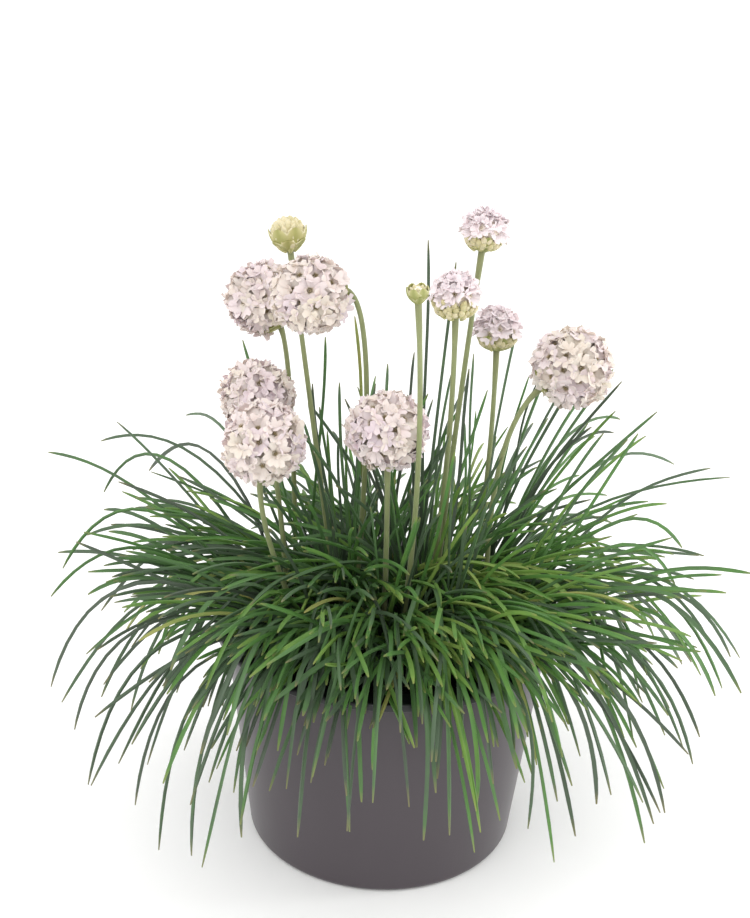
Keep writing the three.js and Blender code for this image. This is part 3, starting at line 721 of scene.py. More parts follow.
def seeded_random(seed):
    """A repeatable draw of numbers from 0 to 1, the one that the frame's leaves were placed with."""
    state = seed
    mask = 0xFFFFFFFF

    def draw():
        nonlocal state
        state = (state + 0x6D2B79F5) & mask
        mixed = ((state ^ (state >> 15)) * (1 | state)) & mask
        mixed = ((mixed + (mixed ^ (mixed >> 7)) * (61 | mixed)) & mask) ^ mixed
        return (mixed ^ (mixed >> 14)) / 2 ** 32

    return draw


def path_points(path, shares):
    """Points along a curve from its foot to its tip that bends towards its middle point."""
    shares = np.asarray(shares, float)[:, None]
    return (1 - shares) ** 2 * path[0] + 2 * (1 - shares) * shares * path[1] + shares ** 2 * path[2]


def path_tangents(path, shares):
    shares = np.asarray(shares, float)[:, None]
    tangents = (1 - shares) * (path[1] - path[0]) + shares * (path[2] - path[1])
    return tangents / np.linalg.norm(tangents, axis=1)[:, None]


def stretches(points):
    return np.stack([points[:-1], points[1:]], axis=1)


def least_gap(first, second):
    """Least distance between any straight stretch of one set and any of another."""
    if not len(first) or not len(second):
        return math.inf
    start, other = first[:, None, 0], second[None, :, 0]
    a = first[:, None, 1] - start
    b = second[None, :, 1] - other
    r = start - other
    aa, bb, ab, ar, br = ((p * q).sum(-1) for p, q in ((a, a), (b, b), (a, b), (a, r), (b, r)))
    slant = aa * bb - ab * ab
    crossing = slant > 1e-9
    s = np.where(crossing, np.clip((ab * br - ar * bb) / np.where(crossing, slant, 1), 0, 1), 0)
    t = (ab * s + br) / bb
    s = np.where((t < 0) | (t > 1), np.clip((ab * np.clip(t, 0, 1) - ar) / aa, 0, 1), s)
    t = np.clip(t, 0, 1)
    gaps = start + a * s[..., None] - other - b * t[..., None]
    return math.sqrt((gaps * gaps).sum(-1).min())


def cup_of(flower):
    """Radius of the cup of bracts and the height of its mouth, from the head's centre."""
    stage = STAGES[flower["stage"]]
    radius = stage["cup_share"] * flower["radius"]
    return radius, -radius * math.cos(math.radians(stage["cup"]))


def stalk_of(flower):
    """The curve, axis and centre of a flower, and what leaves keep clear of."""
    foot = np.array([*flower["foot"], STALK_FOOT_Z], float)
    bend, centre = np.array(flower["bend"], float), np.array(flower["head"], float)
    axis = (centre - bend) / np.linalg.norm(centre - bend)
    radius, seat = cup_of(flower)
    path = np.array([foot, bend, centre + axis * (seat - radius) / 2])
    steps = np.arange(STALK_STEPS + 1) / STALK_STEPS
    return dict(
        flower, path=path, axis=axis, centre=centre, stretches=stretches(path_points(path, steps)),
        core=np.array([[centre, centre + (0, 0, 0.01)]]))


def leaf_along(crown, heading, bend, tip):
    """A leaf from its crown's root along a heading, with its bend and tip as (reach, height)."""
    x, y = CROWNS[crown]["at"]
    out = np.array([math.cos(math.radians(heading)), math.sin(math.radians(heading)), 0])
    points = [
        np.array([x, y, height]) + out * (LEAF_ROOT_OFFSET + reach)
        for reach, height in ((0, LEAF_ROOT_Z), bend, tip)]
    path = np.array(points)
    chain = path_points(path, np.arange(LEAF_CHECKS + 1) / LEAF_CHECKS)
    farther = chain[np.linalg.norm(chain - path[0], axis=1) > FREE_LENGTH]
    return dict(crown=crown, path=path, chain=chain, whole=stretches(chain), farther=stretches(farther))


def long_leaf(row, shift):
    crown, heading, mid_reach, mid_height, tip_reach, tip_height = row
    bend = (2 * mid_reach - tip_reach / 2, 2 * mid_height - (LEAF_ROOT_Z + tip_height) / 2 + 2 * shift[1])
    return leaf_along(crown, heading + shift[0], bend, (tip_reach, tip_height + shift[2]))


def drawn_leaf(crown, bounds, random, shortest=1.0):
    """A leaf drawn within the bounds of its habit and of its fan round its crown's heading."""
    about = CROWNS[crown]
    turn = about["heading"] + bounds["fan"] * (2 * random() - 1)
    drawn = {}
    for name in ("first_rise", "second_rise", "first_leg", "second_leg"):
        low, high = bounds[name]
        drawn[name] = low + (high - low) * random()
    length = about["length"] * (shortest + (1 - shortest) * random() if shortest < 1 else 1)
    rise, fall = math.radians(drawn["first_rise"]), math.radians(drawn["second_rise"])
    first, second = length * drawn["first_leg"], length * drawn["second_leg"]
    bend = (first * math.cos(rise), LEAF_ROOT_Z + first * math.sin(rise))
    tip = (bend[0] + second * math.cos(fall), bend[1] + second * math.sin(fall))
    return leaf_along(crown, turn, bend, tip)


def clears_pot(points, crown, lowest=LOWEST_TIP):
    """True where all the points keep clear of the floor, the pots, the soil and the other crowns."""
    radius, height = np.hypot(points[:, 0], points[:, 1]), points[:, 2]
    over_lip = (radius > POT_MOUTH_RADIUS) & (radius < LIP_RADIUS + POT_CLEARANCE)
    low = height < lowest
    low |= over_lip & (height < LIP_TOP + POT_CLEARANCE)
    low |= (radius <= POT_MOUTH_RADIUS) & (height < SOIL_TOP + SOIL_MOUND + POT_CLEARANCE)
    if low.any():
        return False
    for name, about in CROWNS.items():
        across = np.hypot(*(points[:, :2] - about["at"]).T) / (CROWN_RADIUS + CROWN_MARGIN)
        above = (height - CROWN_Z) / (CROWN_HEIGHT + CROWN_MARGIN)
        if name != crown and (np.hypot(across, above) <= 1).any():
            return False
    return True


def clears_stalks(leaf, stalks):
    for stalk in stalks:
        reach = stalk["radius"] + LEAF_WIDTH / 2 + HEAD_CLEARANCE
        if least_gap(leaf["farther"], stalk["core"]) < reach:
            return False
        part = "farther" if stalk["crown"] == leaf["crown"] else "whole"
        if least_gap(leaf[part], stalk["stretches"]) < LEAF_GAP:
            return False
    return True


def clears_leaves(leaf, placed):
    """True where the leaf keeps clear of the placed ones; near its root, of other crowns' alone."""
    low, high = leaf["chain"].min(0) - LEAF_GAP, leaf["chain"].max(0) + LEAF_GAP
    near = [
        other for other in placed
        if (other["chain"].min(0) <= high).all() and (other["chain"].max(0) >= low).all()]
    kin = [other["farther"] for other in near if other["crown"] == leaf["crown"]]
    rest = [other["whole"] for other in near if other["crown"] != leaf["crown"]]
    if kin and least_gap(leaf["farther"], np.concatenate(kin)) < LEAF_GAP:
        return False
    return not rest or least_gap(leaf["whole"], np.concatenate(rest)) >= LEAF_GAP


def frame_leaves(stalks):
    """The leaves of the frame, placed again by the same rule and the same draws."""
    placed = []
    random = seeded_random(LEAF_SEED)

    def place(draw):
        for attempt in range(LEAF_TRIES):
            leaf = draw(attempt)
            free = leaf["chain"][np.linalg.norm(leaf["chain"] - leaf["path"][0], axis=1) > CROWN_RADIUS]
            if (clears_pot(free, leaf["crown"]) and clears_stalks(leaf, stalks)
                    and clears_leaves(leaf, placed)):
                placed.append(leaf)
                return

    for row in LONG_LEAVES:
        place(lambda attempt: long_leaf(
            row, [attempt / LEAF_TRIES * most * (2 * random() - 1) for most in LONG_LEAF_SHIFTS]))
    for habit in HABITS:
        for crown, about in CROWNS.items():
            for _ in range(about[habit]):
                place(lambda attempt: drawn_leaf(crown, dict(HABITS[habit], fan=about["fan"]), random))
    return placed


def added_leaves(crown, share, stalks, random):
    """More leaves of a crown, by its own habits and by those of the added ones. They keep inside the plant's
    outline and clear of the pots, stalks and heads alone."""
    about = CROWNS[crown]
    habits = [dict(HABITS[habit], fan=about["fan"]) for habit in HABITS for _ in range(about[habit])]
    draws = [habits[int(random() * len(habits))] for _ in range(round(share * about["more"]))]
    for habit, bounds in ADDED.items():
        draws += [bounds] * round(share * about[habit])
    placed = []
    for bounds in draws:
        for _ in range(ADDED_LEAF_TRIES):
            leaf = drawn_leaf(crown, bounds, random, SHORTEST_SHARE)
            free = leaf["chain"][np.linalg.norm(leaf["chain"] - leaf["path"][0], axis=1) > CROWN_RADIUS]
            inside = (np.hypot(free[:, 0] / PLANT_REACH[0], free[:, 1] / PLANT_REACH[1]) < 1).all()
            if inside and clears_pot(free, crown, LOWEST_ADDED_TIP) and clears_stalks(leaf, stalks):
                placed.append(leaf)
                break
    return placed


def bent_blade(template, leaf, settings, random):
    """Corners of a blade bent along its leaf's path: channelled above and keeled below, with a slight
    wander and twist, and rooted in the soil beside its crown's middle."""
    path = leaf["path"].copy()
    around = 2 * math.pi * random()
    spread = ROOT_SPREAD * CROWN_RADIUS * math.sqrt(random())
    sunk = SOIL_TOP + SOIL_MOUND - ROOT_DEPTH - LEAF_ROOT_Z
    path[0] += (spread * math.cos(around), spread * math.sin(around), sunk)
    share = 1 - (1 - np.clip(template[:, 2], 0, 1)) ** RING_CROWDING
    centre, tangent = path_points(path, share), path_tangents(path, share)
    chord = path[2] - path[0]
    level = np.array([-chord[1], chord[0], 0]) / max(1e-6, math.hypot(chord[0], chord[1]))
    side = level - tangent * (tangent @ level)[:, None]
    side /= np.linalg.norm(side, axis=1)[:, None]
    up = np.cross(tangent, side)
    roll = (random() - 0.5) * BLADE_ROLL + share * (random() - 0.5) * BLADE_TWIST
    side, up = (
        side * np.cos(roll)[:, None] + up * np.sin(roll)[:, None],
        up * np.cos(roll)[:, None] - side * np.sin(roll)[:, None])
    sway = settings.sway / MM * (random() + 0.4) * share * (1.25 - share)
    wave = np.sin(2 * math.pi * (share * (0.7 + 0.7 * random()) + random()))
    drift = np.cos(2 * math.pi * (share * (0.6 + 0.6 * random()) + random()))
    centre = centre + side * (sway * wave)[:, None] + up * (0.6 * sway * drift)[:, None]
    taper = TIP_SHARE + (1 - TIP_SHARE) * np.minimum(1, 15 * (1 - share)) ** 0.6
    taper *= ROOT_SHARE + (1 - ROOT_SHARE) * np.minimum(1, 5 * share)
    width = settings.width / MM * (BLADE_SHARE + BLADE_SHARE_DRAWN * random())
    width *= np.interp(path[2][2], SLIM_TIPS, (1, BLADE_SHARE_TALL))
    turn = np.arctan2(template[:, 1], template[:, 0])
    on_axis = np.hypot(template[:, 0], template[:, 1]) < 1e-4
    across = np.where(on_axis, 0, np.cos(turn) / math.cos(math.pi / BLADE_MESH[0]))
    middle = np.abs(across) < 0.1
    height = np.where(
        middle, np.where(turn > 0, CHANNEL_HEIGHT, KEEL_HEIGHT),
        np.where(turn > 0, UPPER_EDGE_HEIGHT, LOWER_EDGE_HEIGHT))
    across = np.where((turn < 0) & ~middle, LOWER_EDGE_SHARE * across, across)
    height = np.where(on_axis, 0, height)
    corners = (
        centre + side * (0.5 * width * across * taper)[:, None]
        + up * (settings.thickness / MM * height * taper)[:, None])
    return corners, share, across


def leaf_tone(leaf, random):
    """Place of a leaf's colour from bluish to yellow green: low, outer and the tallest ones are bluer, and
    some at the right are paler and yellower with painted light.
    """
    tip = leaf["path"][2]
    tone = TONE_MEAN + TONE_SPREAD * (random() + random() + random() - 1.5)
    tone += TONE_BY_HEIGHT * (min(tip[2], TONE_HEIGHTS[1]) - TONE_HEIGHTS[0])
    tone -= TALL_LOSS * np.interp(tip[2], (TALL_START, TALL_TIP), (0, 1))
    tone -= TONE_BY_REACH * max(0, math.hypot(tip[0], tip[1]) - TONE_REACH)
    # Painted light: some leaves at the right are shifted paler and yellower, as if lit more
    if tip[0] > RIGHT_START and random() < RIGHT_LEAVES:
        tone += RIGHT_PAINTED_LIGHT
    if random() < STRAW_LEAVES:
        return STRAW_TONE + 0.1 * random()
    return min(TONE_RANGE[1], max(TONE_RANGE[0], tone))


def level_frame(direction, spin):
    """Three axes as columns, the last one along a direction and the others turned round it."""
    direction = direction / np.linalg.norm(direction)
    aside = np.cross(direction, (0, 0, 1) if abs(direction[2]) < 0.9 else (1, 0, 0))
    aside /= np.linalg.norm(aside)
    other = np.cross(direction, aside)
    first = math.cos(spin) * aside + math.sin(spin) * other
    return np.stack([first, np.cross(direction, first), direction], axis=1)


def petal_run(opening, throat):
    """A petal's run out from and up along its floret's axis, for a petal one unit long that leaves the
    throat at the first angle from the axis and ends at the second."""
    angles = np.radians(opening[0] + (opening[1] - opening[0]) * np.linspace(0, 1, PETAL_STEPS + 1) ** 0.8)
    out = throat + np.concatenate([[0], np.cumsum(np.sin(angles[1:]) / PETAL_STEPS)])
    rise = np.concatenate([[0], np.cumsum(np.cos(angles[1:]) / PETAL_STEPS)])
    return angles, out, rise


def shaped_petal(template, turn, shape, length, width, thickness, random):
    """Corners of one notched, ruffled petal in its floret's own frame, where the floret opens along Z."""
    u, v, w = template[:, 0], template[:, 1], template[:, 2]
    run = v * (1 - LIMB_ROUNDING * u * u * v * v) - NOTCH_DEPTH * v ** 6 * np.exp(-(u / NOTCH_WIDTH) ** 2)
    limb = np.sin(0.5 * math.pi * np.minimum(1, v / 0.8)) ** 1.2
    half = 0.5 * width * (CLAW_SHARE + (1 - CLAW_SHARE) * limb)
    angle, out, rise = (np.interp(run, np.linspace(0, 1, PETAL_STEPS + 1), row) for row in shape)
    x = half * u
    waves = BROAD_RUFFLE * np.sin(2.6 * u + 6.3 * random()) + NARROW_RUFFLE * np.sin(7 * u + 6.3 * random())
    radius, height = length * out, length * (rise + v * v * waves) + PETAL_OVERLAP * x
    skin = thickness * (w - 0.5)
    radius, height = radius - skin * np.cos(angle), height + skin * np.sin(angle)
    cosine, sine = math.cos(turn), math.sin(turn)
    return np.stack([radius * cosine - x * sine, radius * sine + x * cosine, height], axis=1)


def ribbed(template, radii, height, foot, twist):
    """Corners of a ribbed tube, from the radii along it, its height, its foot and its twist."""
    along = np.clip(template[:, 2], 0, 1)
    turn = np.arctan2(template[:, 1], template[:, 0])
    radius = np.interp(along, np.linspace(0, 1, len(radii)), radii)
    radius *= 1 + RIB_HEIGHT * np.cos(RIBS * turn)
    turn = turn + twist * along
    return np.stack([radius * np.cos(turn), radius * np.sin(turn), foot + height * along], axis=1)


def shaped_bract(template, turn, low, high, radius, half_width, thickness, flare):
    """Corners of one pointed bract that lies over the cup between two angles from the stalk."""
    u, v, w = template[:, 0], template[:, 1], template[:, 2]
    run = v * (1 - BRACT_POINT * np.abs(u) ** 1.6 * v)
    polar = np.radians(low + (high - low) * run)
    half = half_width * np.sin(math.pi * (0.2 + 0.64 * v)) ** 0.8
    away = radius * (1 + flare * v * v) + thickness * (w - 0.5) - 0.1 * radius * (u * half / radius) ** 2
    around = turn + u * half / np.maximum(0.35 * radius, radius * np.sin(polar))
    return np.stack([
        away * np.sin(polar) * np.cos(around), away * np.sin(polar) * np.sin(around), -away * np.cos(polar)],
        axis=1)


def ball_directions(count, lowest, highest, random):
    """Directions spread evenly over a ball, those between two angles from the stalk. The stalk is at -Z."""
    golden = math.pi * (3 - math.sqrt(5))
    found = []
    for i in range(count):
        height = 1 - (2 * i + 1) / count
        turn = golden * i + 0.25 * (random() - 0.5)
        level = math.sqrt(1 - height * height)
        if lowest <= math.degrees(math.acos(-height)) < highest:
            found.append(np.array([level * math.cos(turn), level * math.sin(turn), height]))
    return found


def splayed(corners, stage, radius):
    """Corners of a head in its own frame, drawn out towards its top."""
    return corners + corners * (1, 1, 0) * stage["splay"] * corners[:, 2:] / radius


class THRIFT_OT_cover_pot(bpy.types.Operator):
    """Spins the taupe cover pot and cuts the notches between its feet"""

    bl_idname = "thrift.cover_pot"
    bl_label = "Cover pot"

    def execute(self, context):
        settings = context.scene.thrift_pot
        rim = COVER_TOP_RADIUS - RIM_ROUNDING, COVER_HEIGHT - RIM_ROUNDING
        inner = COVER_TOP_RADIUS - COVER_WALL + RIM_ROUNDING, COVER_HEIGHT - RIM_ROUNDING
        body = spun([
            (0, 0),
            *arc((COVER_BASE_RADIUS - COVER_CORNER, COVER_CORNER), COVER_CORNER, -90, 0, 8),
            *arc(rim, RIM_ROUNDING, 0, 90, 4),
            *arc(inner, RIM_ROUNDING, 90, 180, 4),
            (cover_radius(COVER_FLOOR) - COVER_WALL, COVER_FLOOR),
            (0, COVER_FLOOR),
        ], settings.steps)
        cutter = bmesh.new()
        length = COVER_BASE_RADIUS + COVER_CORNER - FOOT_NOTCH_INNER_RADIUS
        for index in range(FOOT_NOTCHES):
            turn = Matrix.Rotation(math.radians(-90) + 2 * math.pi * index / FOOT_NOTCHES, 4, "Z")
            place = Matrix.Translation((FOOT_NOTCH_INNER_RADIUS + length / 2, 0, 0))
            size = Matrix.Diagonal((length, FOOT_NOTCH_WIDTH, 2 * FOOT_NOTCH_HEIGHT, 1))
            bmesh.ops.create_cube(cutter, size=1, matrix=turn @ place @ size)
        mesh = without(body, cutter, "cover_pot")
        finish = moulded_polypropylene("polypropylene_moulded_taupe", settings.cover_colour, 0.3, 1.4)
        add_piece("cover_pot_moulded", mesh, [finish], ["cover_pot"])
        return {"FINISHED"}


class THRIFT_OT_grower_pot(bpy.types.Operator):
    """Spins the black grower's pot with its lip and drills its drain holes"""

    bl_idname = "thrift.grower_pot"
    bl_label = "Grower's pot"

    def execute(self, context):
        settings = context.scene.thrift_pot
        underside, floor = LIP_TOP - LIP_THICKNESS, GROWER_FLOOR_Z + GROWER_WALL
        small = LIP_ROUNDING / 2
        inner = grower_radius(LIP_TOP) - GROWER_WALL
        body = spun([
            (0, GROWER_FLOOR_Z),
            (grower_radius(GROWER_FLOOR_Z), GROWER_FLOOR_Z),
            (grower_radius(underside), underside),
            *arc((LIP_RADIUS - small, underside + small), small, -90, 0, 4),
            *arc((LIP_RADIUS - LIP_ROUNDING, LIP_TOP - LIP_ROUNDING), LIP_ROUNDING, 0, 90, 6),
            *arc((inner + small, LIP_TOP - small), small, 90, 180, 4),
            (grower_radius(floor) - GROWER_WALL, floor),
            (0, floor),
        ], settings.steps)
        cutter = bmesh.new()
        for index in range(DRAIN_HOLES):
            turn = 2 * math.pi * index / DRAIN_HOLES
            place = DRAIN_RING_RADIUS * math.cos(turn), DRAIN_RING_RADIUS * math.sin(turn), floor
            bmesh.ops.create_cone(
                cutter, cap_ends=True, segments=24, radius1=DRAIN_HOLE_RADIUS, radius2=DRAIN_HOLE_RADIUS,
                depth=6 * GROWER_WALL, matrix=Matrix.Translation(place))
        mesh = without(body, cutter, "grower_pot")
        finish = moulded_polypropylene("polypropylene_recycled_black", settings.grower_colour, 0.34, 0.9)
        add_piece("grower_pot_moulded", mesh, [finish], ["grower_pot"])
        return {"FINISHED"}


def soil_height(x, y):
    """Height of the soil's surface, as in the frame."""
    edge = grower_radius(SOIL_TOP) - GROWER_WALL - SEAT_GAP
    share = min(1, math.hypot(x, y) / edge)
    relief = math.sin(0.31 * x + 1.3) * math.cos(0.27 * y) + math.sin(0.19 * x - 0.23 * y)
    return SOIL_TOP + SOIL_MOUND * (1 - share * share) + SOIL_RELIEF * relief * (1 - share)


def scattered(name, count, largest, finish, seed):
    """Small rough lumps that lie half sunk over the soil."""
    random = seeded_random(seed)
    bm = bmesh.new()
    bmesh.ops.create_icosphere(bm, subdivisions=1, radius=1)
    template = template_from(bm, name + "_lump")
    corners = corners_of(template)
    edge = grower_radius(SOIL_TOP) - GROWER_WALL - SEAT_GAP - largest
    rows = []
    for _ in range(count):
        turn, reach = 2 * math.pi * random(), edge * math.sqrt(random())
        x, y = reach * math.cos(turn), reach * math.sin(turn)
        size = largest * (0.3 + 0.7 * random() ** 2)
        rough = np.array([[0.7 + 0.6 * random()] for _ in corners])
        stretch = np.array([1 + 0.5 * random(), 0.9, 0.6 + 0.3 * random()])
        axes = level_frame(np.array([random() - 0.5, random() - 0.5, 0.6 + random()]), ANY_TURN * random())
        lump = (corners * rough * stretch * size) @ axes.T
        rows.append((template, lump + (x, y, soil_height(x, y) + 0.3 * size), 0))
    add_piece(name, gathered(name, rows, LUMP_EDGE), [finish])


class THRIFT_OT_soil(bpy.types.Operator):
    """Fills the grower's pot with peat, crumbs and pale grains"""

    bl_idname = "thrift.soil"
    bl_label = "Soil"

    def execute(self, context):
        settings = context.scene.thrift_soil
        bottom, inset = GROWER_FLOOR_Z + GROWER_WALL + SEAT_GAP, GROWER_WALL + SEAT_GAP
        edge = grower_radius(SOIL_TOP) - inset
        body = spun([
            (0, bottom),
            (grower_radius(bottom) - inset, bottom),
            (edge, SOIL_TOP),
            *[(edge * (SOIL_RINGS - ring) / SOIL_RINGS, SOIL_TOP) for ring in range(1, SOIL_RINGS)],
            (0, SOIL_TOP),
        ], context.scene.thrift_pot.steps)
        for corner in body.verts:
            if corner.co.z > SOIL_TOP - 0.01:
                x, y = corner.co.x, corner.co.y
                lumps = sum(height * noise.noise(Vector((x, y, z)) / size) for size, height, z in PEAT_LUMPS)
                inside = min(1, (edge - math.hypot(x, y)) / 2)
                corner.co.z = soil_height(x, y) + lumps * inside
        finish = peat_compost(settings.colour)
        add_piece("peat", mesh_from(body, "peat", SOIL_EDGE), [finish], ["soil"])
        scattered("peat_crumbs", settings.crumbs, settings.crumb_size / MM, finish, CRUMB_SEED)
        scattered(
            "perlite_grains", settings.grains, settings.grain_size / MM, expanded_perlite(), GRAIN_SEED)
        return {"FINISHED"}


class THRIFT_OT_leaves(bpy.types.Operator):
    """Grows each crown's leaves: the frame's own and more by the same habits"""

    bl_idname = "thrift.leaves"
    bl_label = "Leaves"

    def execute(self, context):
        settings = context.scene.thrift_leaves
        stalks = [stalk_of(flower) for flower in FLOWERS]
        leaves = frame_leaves(stalks)
        blade = rod_template("blade", *BLADE_MESH, 1)
        corners = corners_of(blade)
        finish = fresh_leaf()
        for number, crown in enumerate(CROWNS):
            random = seeded_random(BLADE_SEED + number)
            own = [leaf for leaf in leaves if leaf["crown"] == crown]
            own += added_leaves(crown, settings.more, stalks, random)
            rows = []
            for leaf in own:
                placed, along, across = bent_blade(corners, leaf, settings, random)
                rows.append((blade, placed, 0, leaf_tone(leaf, random), along, across))
            name = f"leaves_{crown}"
            add_piece(name, gathered(name, rows, BLADE_EDGE), [finish], [f"leaf_tuft_{crown}"])
        return {"FINISHED"}


class THRIFT_OT_stalks(bpy.types.Operator):
    """Draws each flower stalk with the bracts under its head"""

    bl_idname = "thrift.stalks"
    bl_label = "Stalks and bracts"

    def execute(self, context):
        settings = context.scene.thrift_flowers
        rod, scale = rod_template("rod", *STALK_MESH, 1), sheet_template("scale", *SHEET_MESH)
        rod_corners, scale_corners = corners_of(rod), corners_of(scale)
        finishes = [fresh_stalk(), papery_bract()]
        for number, flower in enumerate(FLOWERS, 1):
            stalk, stage = stalk_of(flower), STAGES[flower["stage"]]
            random = seeded_random(BRACT_SEED + number)
            placed, along = self.bent_rod(rod_corners, stalk, settings.stalk_radius / MM)
            rows = [(rod, placed, 0, 0, along, 0)]
            axes = level_frame(stalk["axis"], ANY_TURN * random())
            radius, _ = cup_of(flower)
            for ring in range(stage["rows"]):
                high = (stage["cup"] + 10) * (ring + 2) / (stage["rows"] + 1)
                low = max(8, high - stage["cup"] * BRACT_OVERLAP)
                for index in range(stage["in_row"]):
                    turn = 2 * math.pi * (index + 0.5 * ring + 0.2 * random()) / stage["in_row"]
                    flare = stage["flare"] * (ring + 1) / stage["rows"] * (0.7 + 0.6 * random())
                    corners = shaped_bract(
                        scale_corners, turn, low, high, radius * (1.05 - INNER_BRACT_STEP * ring),
                        stage["bract"] * radius, BRACT_THICKNESS * radius, flare)
                    corners = splayed(corners, stage, flower["radius"])
                    tone = min(1, stage["straw"] + 0.3 * (random() - 0.5))
                    rows.append((
                        scale, corners @ axes.T + stalk["centre"], 1, tone, scale_corners[:, 1],
                        scale_corners[:, 0]))
            name = f"stalk_{number}"
            add_piece(name, gathered(name, rows, FLOWER_EDGE), finishes, [f"flower_stem_{number}"])
        return {"FINISHED"}

    def bent_rod(self, template, stalk, radius):
        """Corners of a stalk along its curve, from the soil to the head, with a sheath under the head."""
        path = stalk["path"].copy()
        path[0][2] = SOIL_TOP - STALK_DEPTH
        share = np.clip(template[:, 2], 0, 1)
        centre, tangent = path_points(path, share), path_tangents(path, share)
        level = np.cross(path[1] - path[0], path[2] - path[1])
        level = level / np.linalg.norm(level)
        other = np.cross(tangent, level)
        length = np.linalg.norm(path[2] - path[0])
        sheath = np.clip(1 - (1 - share) * length / SHEATH_LENGTH, 0, 1)
        thick = radius * (STALK_FOOT_SHARE - STALK_THINNING * share + SHEATH_SWELL * sheath ** 0.6)
        section = template[:, :2] * thick[:, None]
        return centre + level * section[:, :1] + other * section[:, 1:], share


class THRIFT_OT_heads(bpy.types.Operator):
    """Fills each flower head with florets, open or still closed"""

    bl_idname = "thrift.heads"
    bl_label = "Flower heads"

    def execute(self, context):
        settings = context.scene.thrift_flowers
        self.petal = sheet_template("petal", *SHEET_MESH)
        self.calyx = rod_template("calyx", 6, 2, 1)
        self.tube = rod_template("tube", 10, 4, 1)
        self.anther = rod_template("anther", 3, 1, 0)
        self.heart = self.heart_template()
        finishes = [
            papery_petal(), small_part("thrift_calyx_ribbed", "a4a468", "d2cc96"),
            small_part("thrift_anther_cream", "8f8260", "b9ab82"),
            small_part("thrift_head_heart", "e8dccb", "f6eee2")]
        for number, flower in enumerate(FLOWERS, 1):
            name = f"florets_{number}"
            mesh = gathered(name, self.head(flower, number, settings), FLOWER_EDGE)
            add_piece(name, mesh, finishes, [f"flower_head_{number}"])
        return {"FINISHED"}

    def heart_template(self):
        bm = bmesh.new()
        bmesh.ops.create_icosphere(bm, subdivisions=3, radius=1)
        return template_from(bm, "heart")

    def head(self, flower, number, settings):
        """Rows of a head's heart and florets."""
        stalk, stage = stalk_of(flower), STAGES[flower["stage"]]
        random = seeded_random(FLORET_SEED + number)
        axes = level_frame(stalk["axis"], ANY_TURN * random())
        heart = corners_of(self.heart) * (stage["heart"] * flower["radius"])
        rows = [(self.heart, heart, HEART, 0, 0, 0)]
        for direction in ball_directions(stage["open"], stage["opens"], 181, random):
            rows += self.open_floret(direction, flower, stage, settings, random)
        for direction in ball_directions(stage["closed"], stage["lowest"], stage["opens"], random):
            rows += self.closed_floret(direction, flower, stage, settings, random)
        return [
            (template, splayed(corners, stage, flower["radius"]) @ axes.T + stalk["centre"], *rest)
            for template, corners, *rest in rows]

    def floret_axes(self, direction, lean, random):
        jitter = np.array([random(), random(), random()]) - 0.5
        return level_frame(direction + FLORET_LEAN * jitter + (0, 0, lean), ANY_TURN * random())

    def open_floret(self, direction, flower, stage, settings, random):
        """Rows of one open floret's petals, calyx and anthers, in the head's own frame."""
        petal, calyx, anther = (corners_of(template) for template in (self.petal, self.calyx, self.anther))
        size = stage["size"] * (0.92 + 0.16 * random())
        length, width = size * settings.petal_length / MM, size * settings.petal_width / MM
        widest = stage["wide"] + 16 * (random() - 0.5)
        _, out, rise = petal_run((PETAL_START, widest), PETAL_THROAT)
        radius = flower["radius"] * stage["reach"] * (0.96 + 0.06 * random())
        base = math.sqrt(radius ** 2 - min(length * out[-1], 0.8 * radius) ** 2) - length * rise[-1]
        axes = self.floret_axes(direction, stage["lift"], random)
        palest, warmest = stage["tones"]
        tone = palest + (warmest - palest) * random()
        rows = []
        for index in range(PETALS):
            shape = petal_run((PETAL_START, widest + 26 * (random() - 0.5)), PETAL_THROAT)
            corners = shaped_petal(
                petal, 2 * math.pi * (index + 0.16 * (random() - 0.5)) / PETALS, shape,
                length * (0.9 + 0.2 * random()), width * (0.9 + 0.2 * random()),
                settings.petal_thickness / MM, random)
            rows.append((self.petal, corners, PETAL, min(1, tone + 0.1 * random()), petal[:, 1], petal[:, 0]))
        tube = calyx * (0.12 * length, 0.12 * length, 0.8 * length) - (0, 0, 0.84 * length)
        tube[:, :2] *= (0.8 + 0.4 * calyx[:, 2])[:, None]
        rows.append((self.calyx, tube, HEART, tone, calyx[:, 2], 0))
        for index in range(PETALS):
            turn = 2 * math.pi * (index + 0.5) / PETALS
            lean_out = np.array([math.cos(turn), math.sin(turn), 0])
            shaped = anther * (0.045 * length, 0.045 * length, 0.3 * length)
            shaped = shaped + lean_out * (0.02 * length + 0.1 * length * anther[:, 2:])
            rows.append((self.anther, shaped, ANTHER, tone, anther[:, 2], 0))
        return [(template, corners @ axes.T + direction * base, *rest) for template, corners, *rest in rows]

    def closed_floret(self, direction, flower, stage, settings, random):
        """Rows of one closed floret: its ribbed calyx and the petals rolled up over it."""
        tube = corners_of(self.tube)
        length = stage["size"] * settings.petal_length / MM * (0.8 + 0.3 * random())
        axes = self.floret_axes(direction, stage["rise"], random)
        bud = 0.6 * length
        top = direction * flower["radius"] * stage["tucked"] - axes[:, 2] * bud
        calyx = ribbed(tube, (0.1 * length, 0.2 * length, 0.26 * length), 0.6 * length, -0.55 * length, 0)
        rolled = ribbed(tube, [share * length for share in (0.21, 0.25, 0.24, 0.17, 0.05)], bud, 0, 1.1)
        tone = CLOSED_TONE + (1 - CLOSED_TONE) * random()
        across = np.sin(RIBS * np.arctan2(tube[:, 1], tube[:, 0]))
        return [
            (self.tube, calyx @ axes.T + top, CALYX, tone, tube[:, 2], across),
            (self.tube, rolled @ axes.T + top, PETAL, tone, 0.45 + 0.5 * tube[:, 2], across)]


